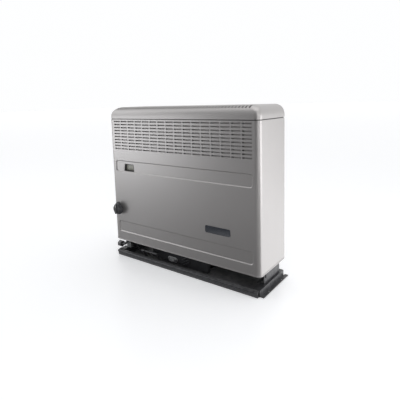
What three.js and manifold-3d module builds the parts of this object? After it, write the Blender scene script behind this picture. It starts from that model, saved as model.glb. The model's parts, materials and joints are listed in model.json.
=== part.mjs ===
// Wall mounted gas heater: a slotted sheet-metal casing over a ribbed heat exchanger,
// a floor tray with mounting rails, and a gas valve with a turn-and-press control knob.
// Millimetres. +X is the right-hand side seen from the front, +Y the wall, +Z up.
// The origin is on the underside of the floor tray, in the middle of its width.

import * as THREE from 'three';
import { mergeGeometries, mergeVertices } from 'three/addons/utils/BufferGeometryUtils.js';
import Module from 'manifold-3d';

const wasm = await Module();
wasm.setup();

// ---------------------------------------------------------------- driving dimensions

const seat = 0.3; // gap left between two pieces that touch
const runningGap = 0.4; // clearance round a piece that moves

// casing
const casingWidth = 480;
const casingDepth = 130;
const casingHeight = 354;
const floorGap = 50; // from the floor to the casing's lower edge
const casingSheet = 1.5;
const cornerRadius = 12;
const hemWidth = 8; // turned-in lower and rear edges
const seamGap = 2; // shadow line between the casing and its cap
const capHeight = 31.5;
const crownRadius = 21; // front upper edge of the cap
const shoulderRadius = 24; // left and right upper edges of the cap
const skirtDrop = 3.5; // how far the cap's skirt reaches into the casing
const skirtSheet = 1.2;
const skirtSetback = 4.5; // depth of the dark groove under the cap
const skirtLip = 2; // height of the lip that fits inside the casing

// slots in the casing's front
const slotColumns = 16;
const slotRows = 10;
const slotLength = 24.4;
const slotHeight = 3.2;
const slotInset = 18.5; // from the casing's side to the first slot
const slotPitchZ = 8.53;
const firstRowDrop = 6.1; // from the casing's upper edge to the first row's middle

// slots in the cap's top
const topSlotRows = 2;
const topSlotColumns = 48;
const topSlotWidth = 4;
const topSlotLength = 34;
const topSlotInset = 26.5; // from the casing's side to the first slot
const topSlotPitchY = 80;
const topSlotCut = 18; // height of the tool that cuts a slot
const topSlotSetback = 25; // from the front to the first row's middle

// pressed bands in the casing's front
const bandInset = 18; // from the casing's side to a band's end
const bandHeight = 32.5;
const bandRadius = 7;
const pressDepth = 2;
const pressSlope = 2; // width of a band's sloping edge
const upperBandRise = 204.5; // from the casing's lower edge
const lowerBandRise = 25.5;

// window in the upper band
const windowInset = 49; // from the casing's left side
const windowWidth = 40;
const windowHeight = 21;
const windowSlope = 3; // the left edge leans in by this much
const windowLift = 2.5; // above the band's lower edge
const windowDepth = 9;
const frameWall = 1.2;
const glassThickness = 2.5;

// tray and rails
const traySheet = 1.5;
const trayInset = 7; // from the casing's side to the tray's end
const trayOverhang = 1; // the tray's rear edge beyond the casing's
const lipHeight = 16;
const lipHem = 6; // width of the lip's turned-in top
const lipReturn = 5; // and how far it turns down again
const railInset = 5; // from the casing's side to the rail's outer wall
const railTop = 18; // width of the rail's flat top
const railFoot = 12; // inner foot, lying on the tray
const flangeWidth = 9.5; // outer foot, lying on the floor
const flangeBack = 144; // from the casing's front plane to the flange's rear end
const flangeStart = 8;
const railBack = 136;
const flangeHole = 2.2; // radius
const flangeHoleSpots = [42, 113]; // from the casing's front plane
const flapLength = 42; // lanced vent in the tray floor, front to rear
const flapWidth = 22;
const flapRise = 5;
const flapLean = 1.5;
const flapGap = 86; // from the burner box to the vent's bend
const flapY = 74; // from the casing's front plane to the vent's middle

// side frames and rear panel
const frameSheet = 1.5;
const frameGap = 0.7; // between a side frame and the casing's turned-in edge
const frameTopDrop = 12; // below the casing's upper edge
const frameFront = 38; // setback of a side frame from the casing's front plane
const frameReturn = 14;
const ventRows = 5; // windows in a side frame
const ventColumns = 2;
const ventHeight = 24;
const ventMargin = 6; // sheet left before, between and behind the vents
const ventTopDrop = 58; // from the frame's top to the middle of the last vent
const ventBottom = 110;
const frameScrewFront = 8; // from the frame's front edge
const frameScrewRear = 14; // from the casing's rear edge
const panelSheet = 1.2;
const panelInset = 14; // from the casing's side to the panel's edge
const panelBottom = 24;
const panelTopDrop = 10;
const panelFootInset = 60;
const panelFootEnd = 5; // above the floor
const beadInset = 40; // from the panel's edge to a bead's middle
const beadWidth = 9;
const beadDepth = 2.5;
const beadBottom = 120;
const beadTopDrop = 40;
const panelSlotLength = 44;
const panelSlotHeight = 5;
const panelSlotRows = 5;
const panelSlotColumns = 4;
const panelSlotPitchX = 60;
const panelSlotPitchZ = 16;
const panelSlotBottom = 60;
const panelScrewX = 60;
const panelScrewZ = 10;
const wallGap = 14; // between the casing's rear edge and the wall

// wall brackets
const bracketFlueGap = 5; // between the flue and a bracket
const wallBracketWidth = 46;
const wallBracketFoot = 22;
const wallBracketRise = 34;
const wallBracketDrop = 38; // from the casing's upper edge to a bracket's shelf
const wallBracketSheet = 2;
const keyholeRadius = 4.2;
const keyholeSlot = 2.3;
const keyholeDrop = 3; // the round hole's middle below the bracket's
const keyholeReach = 8; // the slot's end above the bracket's middle

// heat exchanger
const exchangerLeftGap = 84; // from the casing's left side, leaving room for the valve
const exchangerRightGap = 36;
const exchangerTopGap = 26; // below the casing's upper edge
const exchangerBottom = 78;
const exchangerMid = 6; // y of the joint between the two shells
const shellSheet = 1.5;
const shellDepth = 24;
const ribDepth = 9;
const ribCount = 12;
const seamFlange = 11;
const hangerDrop = 58; // from the exchanger's top to the middle of the brackets that carry it
const hangerHeight = 60;
const hangerSheet = 1.5;
const hangerReturn = 20;
const hangerGap = 2; // beside the shells

// burner
const plateSheet = 2;
const plateOverhang = 2;
const boxWidth = 105;
const boxDepth = 70;
const boxInset = 31; // from the exchanger's left end to the box
const boxSheet = 1.5;
const boxBottom = 6;
const boxLipSide = 8;
const boxLipFront = 6;
const throatInset = 20; // from the box's end to the opening in the plate above it
const throatHalf = 14;
const coverWidth = 34;
const coverHeight = 14;
const coverInset = 30; // from the box's right end to the cover's middle
const coverRise = 1; // above the box's underside
const coverSheet = 1.5;
const coverDome = 4.5;
const coverScrewReach = 12.7;
const coverDomeInset = 8.8; // from the cover's end to its dome
const baffleWidth = 88; // dark panel on the box's right
const baffleSheet = 1.5;
const baffleReturn = 12; // its ends, turned to the rear
const finCount = 3;
const finPitch = 8;
const finReach = 28;
const finRise = 15;
const finProud = 5; // how far a fin stands before the panel
const finThick = 2;
const finStart = 3; // from the panel's left end
const burnerRadius = 11;
const burnerOverhang = 10; // how much longer than the box
const burnerWall = 1.2;
const portCount = 9;
const portPitch = 12;
const portWidth = 2;
const legSheet = 3;
const injectorGap = 16; // from the burner's mouth to the injector's middle
const probeGap = 12; // from the burner's mouth
const burnerRise = 22; // of the burner's axis above its plate

// flue and air intake
const flueRadius = 30; // outside of the spigot
const flueWall = 2;
const flueInset = 64; // from the exchanger's right end
const flueDrop = 60; // from the exchanger's top to the flue's axis
const flueFlange = 12;
const flueFlangeSheet = 2;
const gasketThickness = 2;
const intakeRadius = 30;
const intakeWall = 2;
const intakeInset = 55; // from the box's left end
const intakeY = 8;
const intakeFlange = 8;

// gas valve and control knob
const knobInset = 28; // from the casing's left side
const knobZ = 146; // above the floor
const knobRadius = 16.5;
const knobDepth = 14;
const knobTravel = 4;
const knobGap = 4.6; // between the knob and the casing's front
const knobFlare = 1.5;
const noseReach = 4; // the pointer's nose beyond the round knob
const spindleHalf = 3; // half the side of the square spindle
const sleeveRadius = 6.5;
const turretRadius = 9;
const turretLength = 12;
const valveWidth = 32;
const valveHeight = 42;
const valveDepth = 46;
const valveSetback = 27; // from the casing's front plane
const bracketSheet = 1.5;
const bracketLeg = 16;
const nutThickness = 3.6;
const collarRadius = 15;
const collarThickness = 1.5;
const plungerRadius = 1.6;
const plungerLength = 8.5;
const switchRise = 13; // plunger's axis above the spindle's axis

// pipes and leads
const probeRadius = 1.6;
const electrodeRadius = 3.5;
const leadRadius = 2;
const capillaryRadius = 0.9;
const bulbRadius = 3.5;
const bulbLength = 58;
const bulbInset = 118; // from the casing's left side
const bulbSetback = 19; // from the casing's front plane
const bulbZ = 24;
const bulbClip = 10;
const gasPipeRadius = 4;
const feedPipeRadius = 3;
const nutFlats = 17;
const unionLength = 12;
const unionEnd = 3; // beyond the casing's left side
const unionZ = 28;
const unionSetback = 15; // from the casing's front plane

// igniter
const igniterBottom = 190;
const igniterHeight = 46;
const igniterDepth = 56;
const igniterWidth = 30;
const igniterWall = 2;
const igniterFront = -12;

// what holds the casing
const restLength = 40;
const restDrop = 20;
const restSheet = 1.5;
const clipSheet = 0.8;
const clipWidth = 20;
const clipTop = 2; // below the frame's top
const clipKnee = 12;
const clipBend = 30;
const clipFoot = 60;
const clipLead = 3;

// screws
const screwRadius = 1.9;
const screwHead = 3.8;
const screwHeadHeight = 2.2;

// ---------------------------------------------------------------- places worked out

const front = -casingDepth / 2;
const back = casingDepth / 2;
const side = casingWidth / 2;
const casingTop = floorGap + casingHeight;
const capBottom = casingTop + seamGap;
const capTop = capBottom + capHeight;
const wallPlane = back + wallGap;
const frameX = side - casingSheet - hemWidth - frameGap; // outer face of a side frame
const trayWidth = casingWidth - 2 * trayInset;
const panelWidth = casingWidth - 2 * panelInset;
const railOuter = side - railInset;
const railInner = railOuter - railTop;
const shellLeft = -side + exchangerLeftGap;
const shellRight = side - exchangerRightGap;
const exchangerTop = casingTop - exchangerTopGap;
const flueZ = exchangerTop - flueDrop;
const hangerZ = exchangerTop - hangerDrop;
const wallBracketBottom = casingTop - wallBracketDrop;
const boxLeft = shellLeft + boxInset;
const boxRight = boxLeft + boxWidth;
const intakeX = boxLeft + intakeInset;
const flapX = boxRight + flapGap;
const flueX = shellRight - flueInset;
const bracketX = flueX - flueRadius - bracketFlueGap - wallBracketWidth / 2;
const knobX = -side + knobInset;
const valveFront = front + valveSetback;
const unionY = front + unionSetback;
const knobAxis = [knobX, knobZ];

// ---------------------------------------------------------------- finishes

const finish = (color, roughness, metalness) =>
  new THREE.MeshStandardMaterial({ color, roughness, metalness });
const silverPaint = () => finish(0xb4b3b6, 0.38, 0.55);
const charcoalPaint = () => finish(0x3d3d40, 0.55, 0.2);
const galvanised = () => finish(0x9aa0a3, 0.45, 0.85);
const aluminised = () => finish(0xb2b2ad, 0.5, 0.9);
const blackPlastic = () => finish(0x1f1f22, 0.5, 0);
const brass = () => finish(0xb08d4a, 0.35, 1);
const copper = () => finish(0xb06a45, 0.35, 1);
const castAluminium = () => finish(0xa6a8ab, 0.55, 0.9);
const ceramic = () => finish(0xe9e6dc, 0.6, 0);
const glass = () => finish(0x8f9180, 0.08, 0);
const fibre = () => finish(0x6b665f, 0.95, 0);
const darkSteel = () => finish(0x4a4a4c, 0.5, 0.8);

// ---------------------------------------------------------------- solids

function toSolid(geometry) {
  const bare = new THREE.BufferGeometry();
  bare.setAttribute('position', geometry.getAttribute('position'));
  if (geometry.index) bare.setIndex(geometry.index);
  const merged = mergeVertices(bare, 1e-4);
  return new wasm.Manifold(new wasm.Mesh({
    numProp: 3,
    vertProperties: new Float32Array(merged.getAttribute('position').array),
    triVerts: new Uint32Array(merged.index.array),
  }));
}

function toGeometry(solid) {
  const made = solid.getMesh();
  const geometry = new THREE.BufferGeometry();
  geometry.setAttribute('position', new THREE.BufferAttribute(made.vertProperties, 3));
  geometry.setIndex(new THREE.BufferAttribute(made.triVerts, 1));
  geometry.computeVertexNormals();
  return geometry;
}

const join = (...solids) => solids.reduce((sum, next) => sum.add(next));
const cut = (solid, ...tools) => tools.reduce((rest, tool) => rest.subtract(tool), solid);

// a box between two corners
function block(low, high) {
  const size = high.map((value, i) => value - low[i]);
  const middle = high.map((value, i) => (value + low[i]) / 2);
  return toSolid(new THREE.BoxGeometry(...size).translate(...middle));
}

// the rows and columns of a pattern
const grid = (rows, columns) => Array.from({ length: rows * columns }, (_, i) =>
  [Math.floor(i / columns), i % columns]);

// many separate boxes of one size, as a single cutting tool
function blocks(size, middles) {
  const each = middles.map((middle) => new THREE.BoxGeometry(...size).translate(...middle));
  return toSolid(mergeGeometries(each));
}

const axes = {
  x: new THREE.Matrix4().makeBasis(
    new THREE.Vector3(0, 1, 0), new THREE.Vector3(0, 0, 1), new THREE.Vector3(1, 0, 0)),
  y: new THREE.Matrix4().makeBasis(
    new THREE.Vector3(1, 0, 0), new THREE.Vector3(0, 0, 1), new THREE.Vector3(0, -1, 0)),
  z: new THREE.Matrix4(),
};

// a flat outline pushed along an axis from one place to another;
// outlines are drawn as (y, z) for x, (x, z) for y and (x, y) for z,
// and each of their arcs is split into arcSegments
function extruded(shape, axis, from, to, arcSegments = 4) {
  const depth = to - from;
  const options = { depth, bevelEnabled: false, curveSegments: arcSegments / 2 };
  const geometry = new THREE.ExtrudeGeometry(shape, options).applyMatrix4(axes[axis]);
  const start = axis === 'y' ? to : from;
  const shift = { x: [start, 0, 0], y: [0, start, 0], z: [0, 0, start] }[axis];
  return toSolid(geometry.translate(...shift));
}

// a round bar along an axis, by its centre line's place in the other two directions
function bar(axis, radius, from, to, place, segments = 20) {
  const geometry = new THREE.CylinderGeometry(radius, radius, to - from, segments);
  const middle = (from + to) / 2;
  if (axis === 'x') geometry.rotateZ(-Math.PI / 2).translate(middle, place[0], place[1]);
  if (axis === 'y') geometry.translate(place[0], middle, place[1]);
  if (axis === 'z') geometry.rotateX(Math.PI / 2).translate(place[0], place[1], middle);
  return toSolid(geometry);
}

const tube = (axis, outer, inner, from, to, place, segments = 24) =>
  cut(bar(axis, outer, from, to, place, segments),
    bar(axis, inner, from - 1, to + 1, place, segments));

// a hexagon bar, flat side up
function hexBar(axis, flats, from, to, place) {
  return bar(axis, flats / Math.sqrt(3), from, to, place, 6);
}

// an outline from corner points
function outline(points) {
  return new THREE.Shape(points.map(([u, v]) => new THREE.Vector2(u, v)));
}

// a folded strip of sheet: the points run along one face, the sheet lies to their left
function folded(points, sheet) {
  const vectors = points.map(([u, v]) => new THREE.Vector2(u, v));
  const normals = vectors.slice(1).map((point, i) => {
    const along = point.clone().sub(vectors[i]).normalize();
    return new THREE.Vector2(-along.y, along.x);
  });
  const inside = vectors.map((point, i) => {
    const before = normals[Math.max(i - 1, 0)];
    const after = normals[Math.min(i, normals.length - 1)];
    const mitre = before.clone().add(after);
    return point.clone().addScaledVector(mitre, (2 * sheet) / mitre.lengthSq());
  });
  return new THREE.Shape([...vectors, ...inside.reverse()]);
}

// a rectangle with round corners
function roundedRectangle(left, bottom, right, top, radius) {
  const shape = new THREE.Shape();
  shape.moveTo(left + radius, bottom);
  shape.lineTo(right - radius, bottom);
  shape.absarc(right - radius, bottom + radius, radius, -Math.PI / 2, 0, false);
  shape.lineTo(right, top - radius);
  shape.absarc(right - radius, top - radius, radius, 0, Math.PI / 2, false);
  shape.lineTo(left + radius, top);
  shape.absarc(left + radius, top - radius, radius, Math.PI / 2, Math.PI, false);
  shape.lineTo(left, bottom + radius);
  shape.absarc(left + radius, bottom + radius, radius, Math.PI, 1.5 * Math.PI, false);
  return shape;
}

// a pipe of round section along a smooth curve through points
function pipe(points, radius, steps, sides = 10) {
  const path = new THREE.CatmullRomCurve3(
    points.map((point) => new THREE.Vector3(...point)), false, 'centripetal');
  const section = new THREE.Shape();
  section.absarc(0, 0, radius, 0, 2 * Math.PI, false);
  const options = { steps, curveSegments: sides / 2, extrudePath: path };
  return toSolid(new THREE.ExtrudeGeometry(section, options));
}

// a screw with a domed head; its shank runs from the head's seat along the axis
function screw(axis, towards, seatAt, place, length) {
  const head = towards > 0
    ? bar(axis, screwHead, seatAt - screwHeadHeight, seatAt, place, 10)
    : bar(axis, screwHead, seatAt, seatAt + screwHeadHeight, place, 10);
  const stem = towards > 0
    ? bar(axis, screwRadius, seatAt - 0.5, seatAt + length, place, 6)
    : bar(axis, screwRadius, seatAt - length, seatAt + 0.5, place, 6);
  return join(head, stem);
}

const screwHole = (axis, from, to, place) => bar(axis, screwRadius + seat, from, to, place, 8);

// ---------------------------------------------------------------- assembly

const heater = new THREE.Group();

function add(name, solid, material) {
  const mesh = new THREE.Mesh(toGeometry(solid), material);
  mesh.name = name;
  heater.add(mesh);
}

const mirrored = (solid) => solid.mirror([1, 0, 0]);

// ---------------------------------------------------------------- floor tray and rails

const trayFront = front;
const trayRear = back + trayOverhang;

function baseTray() {
  const profile = folded([
    [trayFront + lipHem, lipHeight - lipReturn],
    [trayFront + lipHem, lipHeight],
    [trayFront, lipHeight],
    [trayFront, 0],
    [trayRear, 0],
    [trayRear, lipHeight],
  ], traySheet);
  const sheet = extruded(profile, 'x', -trayWidth / 2, trayWidth / 2);
  const intakeHole = bar('z', intakeRadius - intakeWall, -1, traySheet + 1, [intakeX, intakeY], 24);
  const flapMiddle = front + flapY;
  const flapHole = block(
    [flapX - flapWidth, flapMiddle - flapLength / 2, -1],
    [flapX, flapMiddle + flapLength / 2, traySheet + 1]);
  const flap = extruded(outline([
    [flapX - 0.2, 0],
    [flapX + traySheet, 0],
    [flapX - flapLean + traySheet, flapRise],
    [flapX - flapLean, flapRise],
  ]), 'y', flapMiddle - flapLength / 2 + 1, flapMiddle + flapLength / 2 - 1);
  const railEnds = [-1, 1].map((hand) => {
    const near = hand * (railInner - railFoot - seat);
    const far = hand * (trayWidth / 2 + 1);
    return block(
      [Math.min(near, far), trayRear - 2 * traySheet, traySheet],
      [Math.max(near, far), trayRear + 1, lipHeight + 1]);
  });
  const panelHoles = [-1, 1].map((hand) =>
    screwHole('y', trayRear - 3, trayRear + 1, [hand * panelScrewX, panelScrewZ]));
  return cut(join(cut(sheet, flapHole), flap), intakeHole, ...railEnds, ...panelHoles);
}

const railScrewX = railInner + railTop / 4;
const railScrewSpots = [front + frameFront + frameScrewFront, back - frameScrewRear];
const frameFoot = lipHeight + seat;

function rightRail() {
  const profile = folded([
    [railOuter + flangeWidth, 0],
    [railOuter - traySheet, 0],
    [railOuter - traySheet, lipHeight - traySheet],
    [railInner + traySheet, lipHeight - traySheet],
    [railInner + traySheet, traySheet + seat],
    [railInner - railFoot, traySheet + seat],
  ].reverse(), traySheet);
  const frontEnd = trayFront + lipHem + seat;
  const rail = extruded(profile, 'y', frontEnd, front + flangeBack);
  const frontCorner = block(
    [railOuter + 0.01, frontEnd - 1, -1],
    [railOuter + flangeWidth + 1, front + flangeStart, traySheet + 1]);
  const rearCorner = block(
    [railInner - railFoot - 1, front + railBack, -1],
    [railOuter + 0.01, front + flangeBack + 1, lipHeight + 1]);
  const floorHoles = flangeHoleSpots.map((y) =>
    bar('z', flangeHole, -1, traySheet + 1, [railOuter + flangeWidth / 2 + 0.6, front + y], 12));
  const frameScrewHoles = railScrewSpots.map((y) =>
    screwHole('z', lipHeight - traySheet - 1, lipHeight + 1, [railScrewX, y]));
  return cut(rail, frontCorner, rearCorner, ...floorHoles, ...frameScrewHoles);
}

add('base_tray', baseTray(), charcoalPaint());
add('mounting_rail_right', rightRail(), charcoalPaint());
add('mounting_rail_left', mirrored(rightRail()), charcoalPaint());

// ---------------------------------------------------------------- side frames

const frameTop = casingTop - frameTopDrop;
const frameBack = back - hemWidth;

function rightSideFrame() {
  const footWidth = railTop + 1;
  const profile = folded([
    [frameX - footWidth, frameFoot],
    [frameX, frameFoot],
    [frameX, frameTop],
    [frameX - frameReturn, frameTop],
  ], frameSheet);
  const frame = extruded(profile, 'y', front + frameFront, frameBack);
  const near = front + frameFront;
  const ventPitchY = (frameBack - near - ventMargin) / ventColumns;
  const ventLength = ventPitchY - ventMargin;
  const ventPitchZ = (frameTop - ventTopDrop - ventBottom) / (ventRows - 1);
  const vents = grid(ventRows, ventColumns).map(([row, column]) =>
    [frameX, near + (ventMargin + ventPitchY) / 2 + column * ventPitchY, ventBottom + row * ventPitchZ]);
  const holes = blocks([4 * frameSheet, ventLength, ventHeight], vents);
  const screwHoles = railScrewSpots.map((y) =>
    screwHole('z', frameFoot - 1, frameFoot + frameSheet + 1, [railScrewX, y]));
  return cut(frame, holes, ...screwHoles);
}

add('side_frame_right', rightSideFrame(), charcoalPaint());
add('side_frame_left', mirrored(rightSideFrame()), charcoalPaint());
for (const [hand, label] of [[-1, 'left'], [1, 'right']]) {
  railScrewSpots.forEach((y, i) => {
    const seatAt = frameFoot + frameSheet + seat;
    add(`frame_screw_${label}_${i + 1}`,
      screw('z', -1, seatAt, [hand * railScrewX, y], 8), darkSteel());
  });
}

// ---------------------------------------------------------------- rear panel and wall brackets

const panelFront = back - hemWidth + seat;
const panelTop = casingTop - panelTopDrop;
const panelHoleRadius = flueRadius + 1.5;

function rearPanel() {
  const panelBack = panelFront + panelSheet;
  const sheet = block([-panelWidth / 2, panelFront, panelBottom], [panelWidth / 2, panelBack, panelTop]);
  const footDrop = block(
    [-panelWidth / 2 + panelFootInset, trayRear - traySheet - seat - panelSheet, panelFootEnd],
    [panelWidth / 2 - panelFootInset, trayRear - traySheet - seat, panelBottom + panelSheet]);
  const footShelf = block(
    [-panelWidth / 2 + panelFootInset, panelFront, panelBottom],
    [panelWidth / 2 - panelFootInset, trayRear - traySheet - seat, panelBottom + panelSheet]);
  const bead = (hand, half, inset) => {
    const x = hand * (panelWidth / 2 - beadInset);
    return roundedRectangle(
      x - half, beadBottom + inset, x + half, panelTop - beadTopDrop - inset, half - 0.1);
  };
  const beads = [-1, 1].map((hand) =>
    extruded(bead(hand, beadWidth, 0), 'y', panelFront - beadDepth, panelFront + 0.1));
  const pressed = [-1, 1].map((hand) =>
    extruded(bead(hand, beadWidth - panelSheet, panelSheet), 'y',
      panelFront - beadDepth + panelSheet, panelBack + 1));
  const slotSpan = (panelSlotColumns - 1) * panelSlotPitchX;
  const slots = blocks([panelSlotLength, 10, panelSlotHeight],
    grid(panelSlotRows, panelSlotColumns).map(([row, column]) =>
      [column * panelSlotPitchX - slotSpan / 2, panelFront, panelSlotBottom + row * panelSlotPitchZ]));
  const flueHole = bar('y', panelHoleRadius, panelFront - 5, panelBack + 5, [flueX, flueZ], 24);
  const footHoles = [-1, 1].map((hand) =>
    screwHole('y', panelFront, trayRear + 1, [hand * panelScrewX, panelScrewZ]));
  const bracketHoles = bracketScrews.map((place) =>
    screwHole('y', panelFront - 1, panelBack + 1, place));
  return cut(join(sheet, footDrop, footShelf, ...beads), ...pressed, slots, flueHole,
    ...footHoles, ...bracketHoles);
}

const bracketScrews = [-1, 1].map((hand) =>
  [hand * bracketX, wallBracketBottom - wallBracketFoot / 2]);

function rightWallBracket() {
  const onPanel = panelFront + panelSheet + seat;
  const profile = folded([
    [onPanel, wallBracketBottom - wallBracketFoot],
    [onPanel, wallBracketBottom],
    [wallPlane - wallBracketSheet, wallBracketBottom],
    [wallPlane - wallBracketSheet, wallBracketBottom + wallBracketRise],
  ].reverse(), wallBracketSheet);
  const strip = extruded(profile, 'x', bracketX - wallBracketWidth / 2, bracketX + wallBracketWidth / 2);
  const keyZ = wallBracketBottom + wallBracketRise / 2;
  const keyhole = join(
    bar('y', keyholeRadius, wallPlane - 5, wallPlane + 5, [bracketX, keyZ - keyholeDrop], 16),
    block([bracketX - keyholeSlot, wallPlane - 5, keyZ - keyholeDrop],
      [bracketX + keyholeSlot, wallPlane + 5, keyZ + keyholeReach]));
  const hole = screwHole('y', onPanel - 1, onPanel + wallBracketSheet + 1, bracketScrews[1]);
  return cut(strip, keyhole, hole);
}

add('rear_panel', rearPanel(), galvanised());
add('wall_bracket_right', rightWallBracket(), galvanised());
add('wall_bracket_left', mirrored(rightWallBracket()), galvanised());
for (const [hand, label] of [[-1, 'left'], [1, 'right']]) {
  const onBracket = panelFront + panelSheet + seat + wallBracketSheet + seat;
  add(`wall_bracket_screw_${label}`,
    screw('y', -1, onBracket, [hand * bracketX, bracketScrews[0][1]], 8), darkSteel());
  add(`panel_screw_${label}`,
    screw('y', -1, trayRear + seat, [hand * panelScrewX, panelScrewZ], 7), darkSteel());
}

// ---------------------------------------------------------------- heat exchanger

const exchangerWidth = shellRight - shellLeft;

// the pressed corrugation seen from above; grow moves the whole line outwards
function ribbedOutline(depth, grow) {
  const pitch = (exchangerWidth - 2 * shellDepth) / ribCount;
  const start = shellLeft + shellDepth;
  const points = [[shellLeft - grow, 0], [shellLeft - grow, depth * 0.45]];
  const root = depth - ribDepth + grow;
  const crest = depth + grow;
  const lean = -0.6 * grow; // keeps the sheet's thickness on the slopes
  for (let rib = 0; rib < ribCount; rib += 1) {
    const left = start + rib * pitch;
    points.push([left - lean, root], [left + pitch * 0.22 + lean, root]);
    points.push([left + pitch * 0.38 + lean, crest], [left + pitch * 0.84 - lean, crest]);
  }
  points.push([start + ribCount * pitch - lean, root]);
  points.push([shellRight + grow, depth * 0.45], [shellRight + grow, 0]);
  return points;
}

// one half of the exchanger: hand is 1 for the rear shell and -1 for the front one
function exchangerShell(hand) {
  const place = (points) => outline(points.map(([x, y]) => [x, exchangerMid + hand * (y + seat / 2)]));
  const depth = shellDepth + ribDepth;
  const outer = extruded(place(ribbedOutline(depth, 0)), 'z', exchangerBottom, exchangerTop);
  const inner = extruded(
    place(ribbedOutline(depth, -shellSheet).map(([x, y]) => [x, y === 0 ? -1 : y])),
    'z', exchangerBottom - 1, exchangerTop - shellSheet);
  const near = exchangerMid + hand * (seat / 2);
  const far = near + hand * shellSheet;
  const flange = block(
    [shellLeft - seamFlange, Math.min(near, far), exchangerBottom],
    [shellRight + seamFlange, Math.max(near, far), exchangerTop + seamFlange]);
  const flueFace = exchangerMid + seat / 2 + depth;
  const boss = hand > 0
    ? bar('y', flueRadius + flueFlange, exchangerMid + 8, flueFace, [flueX, flueZ], 24) : null;
  const body = boss ? join(outer, flange, boss) : join(outer, flange);
  const hollow = boss
    ? join(inner, bar('y', flueRadius - flueWall, exchangerMid - 2, flueFace + 1, [flueX, flueZ], 24))
    : inner;
  return cut(body, hollow);
}

add('exchanger_front_shell', exchangerShell(-1), aluminised());
add('exchanger_rear_shell', exchangerShell(1), aluminised());

const shellFace = exchangerMid + seat / 2 + shellDepth + ribDepth;

function flueSpigot() {
  const flangeFront = shellFace + seat + gasketThickness + seat;
  const flange = bar('y', flueRadius + flueFlange, flangeFront, flangeFront + flueFlangeSheet,
    [flueX, flueZ], 24);
  const pipeBody = bar('y', flueRadius, flangeFront, wallPlane, [flueX, flueZ], 24);
  const beadRing = bar('y', flueRadius + 1, wallPlane - 8, wallPlane - 5, [flueX, flueZ], 24);
  return cut(join(flange, pipeBody, beadRing),
    bar('y', flueRadius - flueWall, flangeFront - 1, wallPlane + 1, [flueX, flueZ], 24));
}

add('flue_gasket', tube('y', flueRadius + flueFlange - 1, flueRadius - flueWall + 0.5,
  shellFace + seat, shellFace + seat + gasketThickness, [flueX, flueZ]), fibre());
add('flue_spigot', flueSpigot(), castAluminium());

// brackets that hang the exchanger between the side frames
function rightHanger() {
  const inner = shellRight + hangerGap;
  const outer = frameX - frameSheet - seat;
  const near = exchangerMid + seat / 2 + shellSheet + seat;
  const profile = folded([
    [inner, near],
    [outer, near],
    [outer, near + hangerReturn],
  ], hangerSheet);
  return extruded(profile, 'z', hangerZ - hangerHeight / 2, hangerZ + hangerHeight / 2);
}

function leftHanger() {
  const inner = shellLeft - hangerGap;
  const outer = -(frameX - frameSheet - seat);
  const near = exchangerMid + seat / 2 + shellSheet + seat;
  const profile = folded([
    [outer, near + hangerReturn],
    [outer, near],
    [inner, near],
  ], hangerSheet);
  return extruded(profile, 'z', hangerZ - hangerHeight / 2, hangerZ + hangerHeight / 2);
}

add('exchanger_bracket_right', rightHanger(), galvanised());
add('exchanger_bracket_left', leftHanger(), galvanised());

// ---------------------------------------------------------------- burner

const plateTop = exchangerBottom - seat;
const plateBottom = plateTop - plateSheet;
const burnerZ = plateTop + burnerRise;
const burnerLeft = boxLeft - 1;
const burnerLength = boxWidth + burnerOverhang;
const boxFront = exchangerMid - boxDepth / 2;
const boxBack = exchangerMid + boxDepth / 2;
const boxTop = plateBottom - seat;
const injectorX = burnerLeft - injectorGap;
const coverX = boxRight - coverInset;
const coverZ = boxBottom + coverRise + coverHeight / 2;
const coverScrewSpots = [-1, 1].map((hand) => [coverX + hand * coverScrewReach, coverZ]);

function burnerPlate() {
  const depth = shellDepth + ribDepth;
  const plate = block(
    [shellLeft - seamFlange, exchangerMid - depth - plateOverhang, plateBottom],
    [shellRight + seamFlange, exchangerMid + depth + plateOverhang, plateTop]);
  const throat = block(
    [boxLeft + throatInset, exchangerMid - throatHalf, plateBottom - 1],
    [boxRight - throatInset, exchangerMid + throatHalf, plateTop + 1]);
  const feedHole = bar('z', feedPipeRadius + 0.6, plateBottom - 1, plateTop + 1,
    [injectorX, exchangerMid], 12);
  const probeHole = bar('z', probeRadius + seat, plateBottom - 1, plateTop + 1, probePlace, 10);
  const electrodeHole = bar('z', electrodeRadius + seat, plateBottom - 1, plateTop + 1,
    electrodePlace, 12);
  return cut(plate, throat, feedHole, probeHole, electrodeHole);
}

const probePlace = [burnerLeft - probeGap, exchangerMid - burnerRadius - 7.5];
const electrodePlace = [burnerLeft - probeGap, exchangerMid + burnerRadius + 4.5];

function burnerBox() {
  const outer = block([boxLeft, boxFront, boxBottom], [boxRight, boxBack, boxTop]);
  const inner = block(
    [boxLeft + boxSheet, boxFront + boxSheet, boxBottom + boxSheet],
    [boxRight - boxSheet, boxBack - boxSheet, boxTop + 1]);
  const lip = cut(
    block([boxLeft - boxLipSide, boxFront - boxLipFront, boxTop - boxSheet],
      [boxRight + boxLipSide, boxBack + boxLipFront, boxTop]),
    block([boxLeft + 0.5, boxFront + 0.5, boxTop - 5], [boxRight - 0.5, boxBack - 0.5, boxTop + 1]));
  const intake = bar('z', intakeRadius + seat, boxBottom - 1, boxBottom + boxSheet + 1,
    [intakeX, intakeY], 24);
  const screws = coverScrewSpots.map((place) =>
    screwHole('y', boxFront - 1, boxFront + boxSheet + 1, place));
  return cut(join(cut(outer, inner), lip), intake, ...screws);
}

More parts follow.
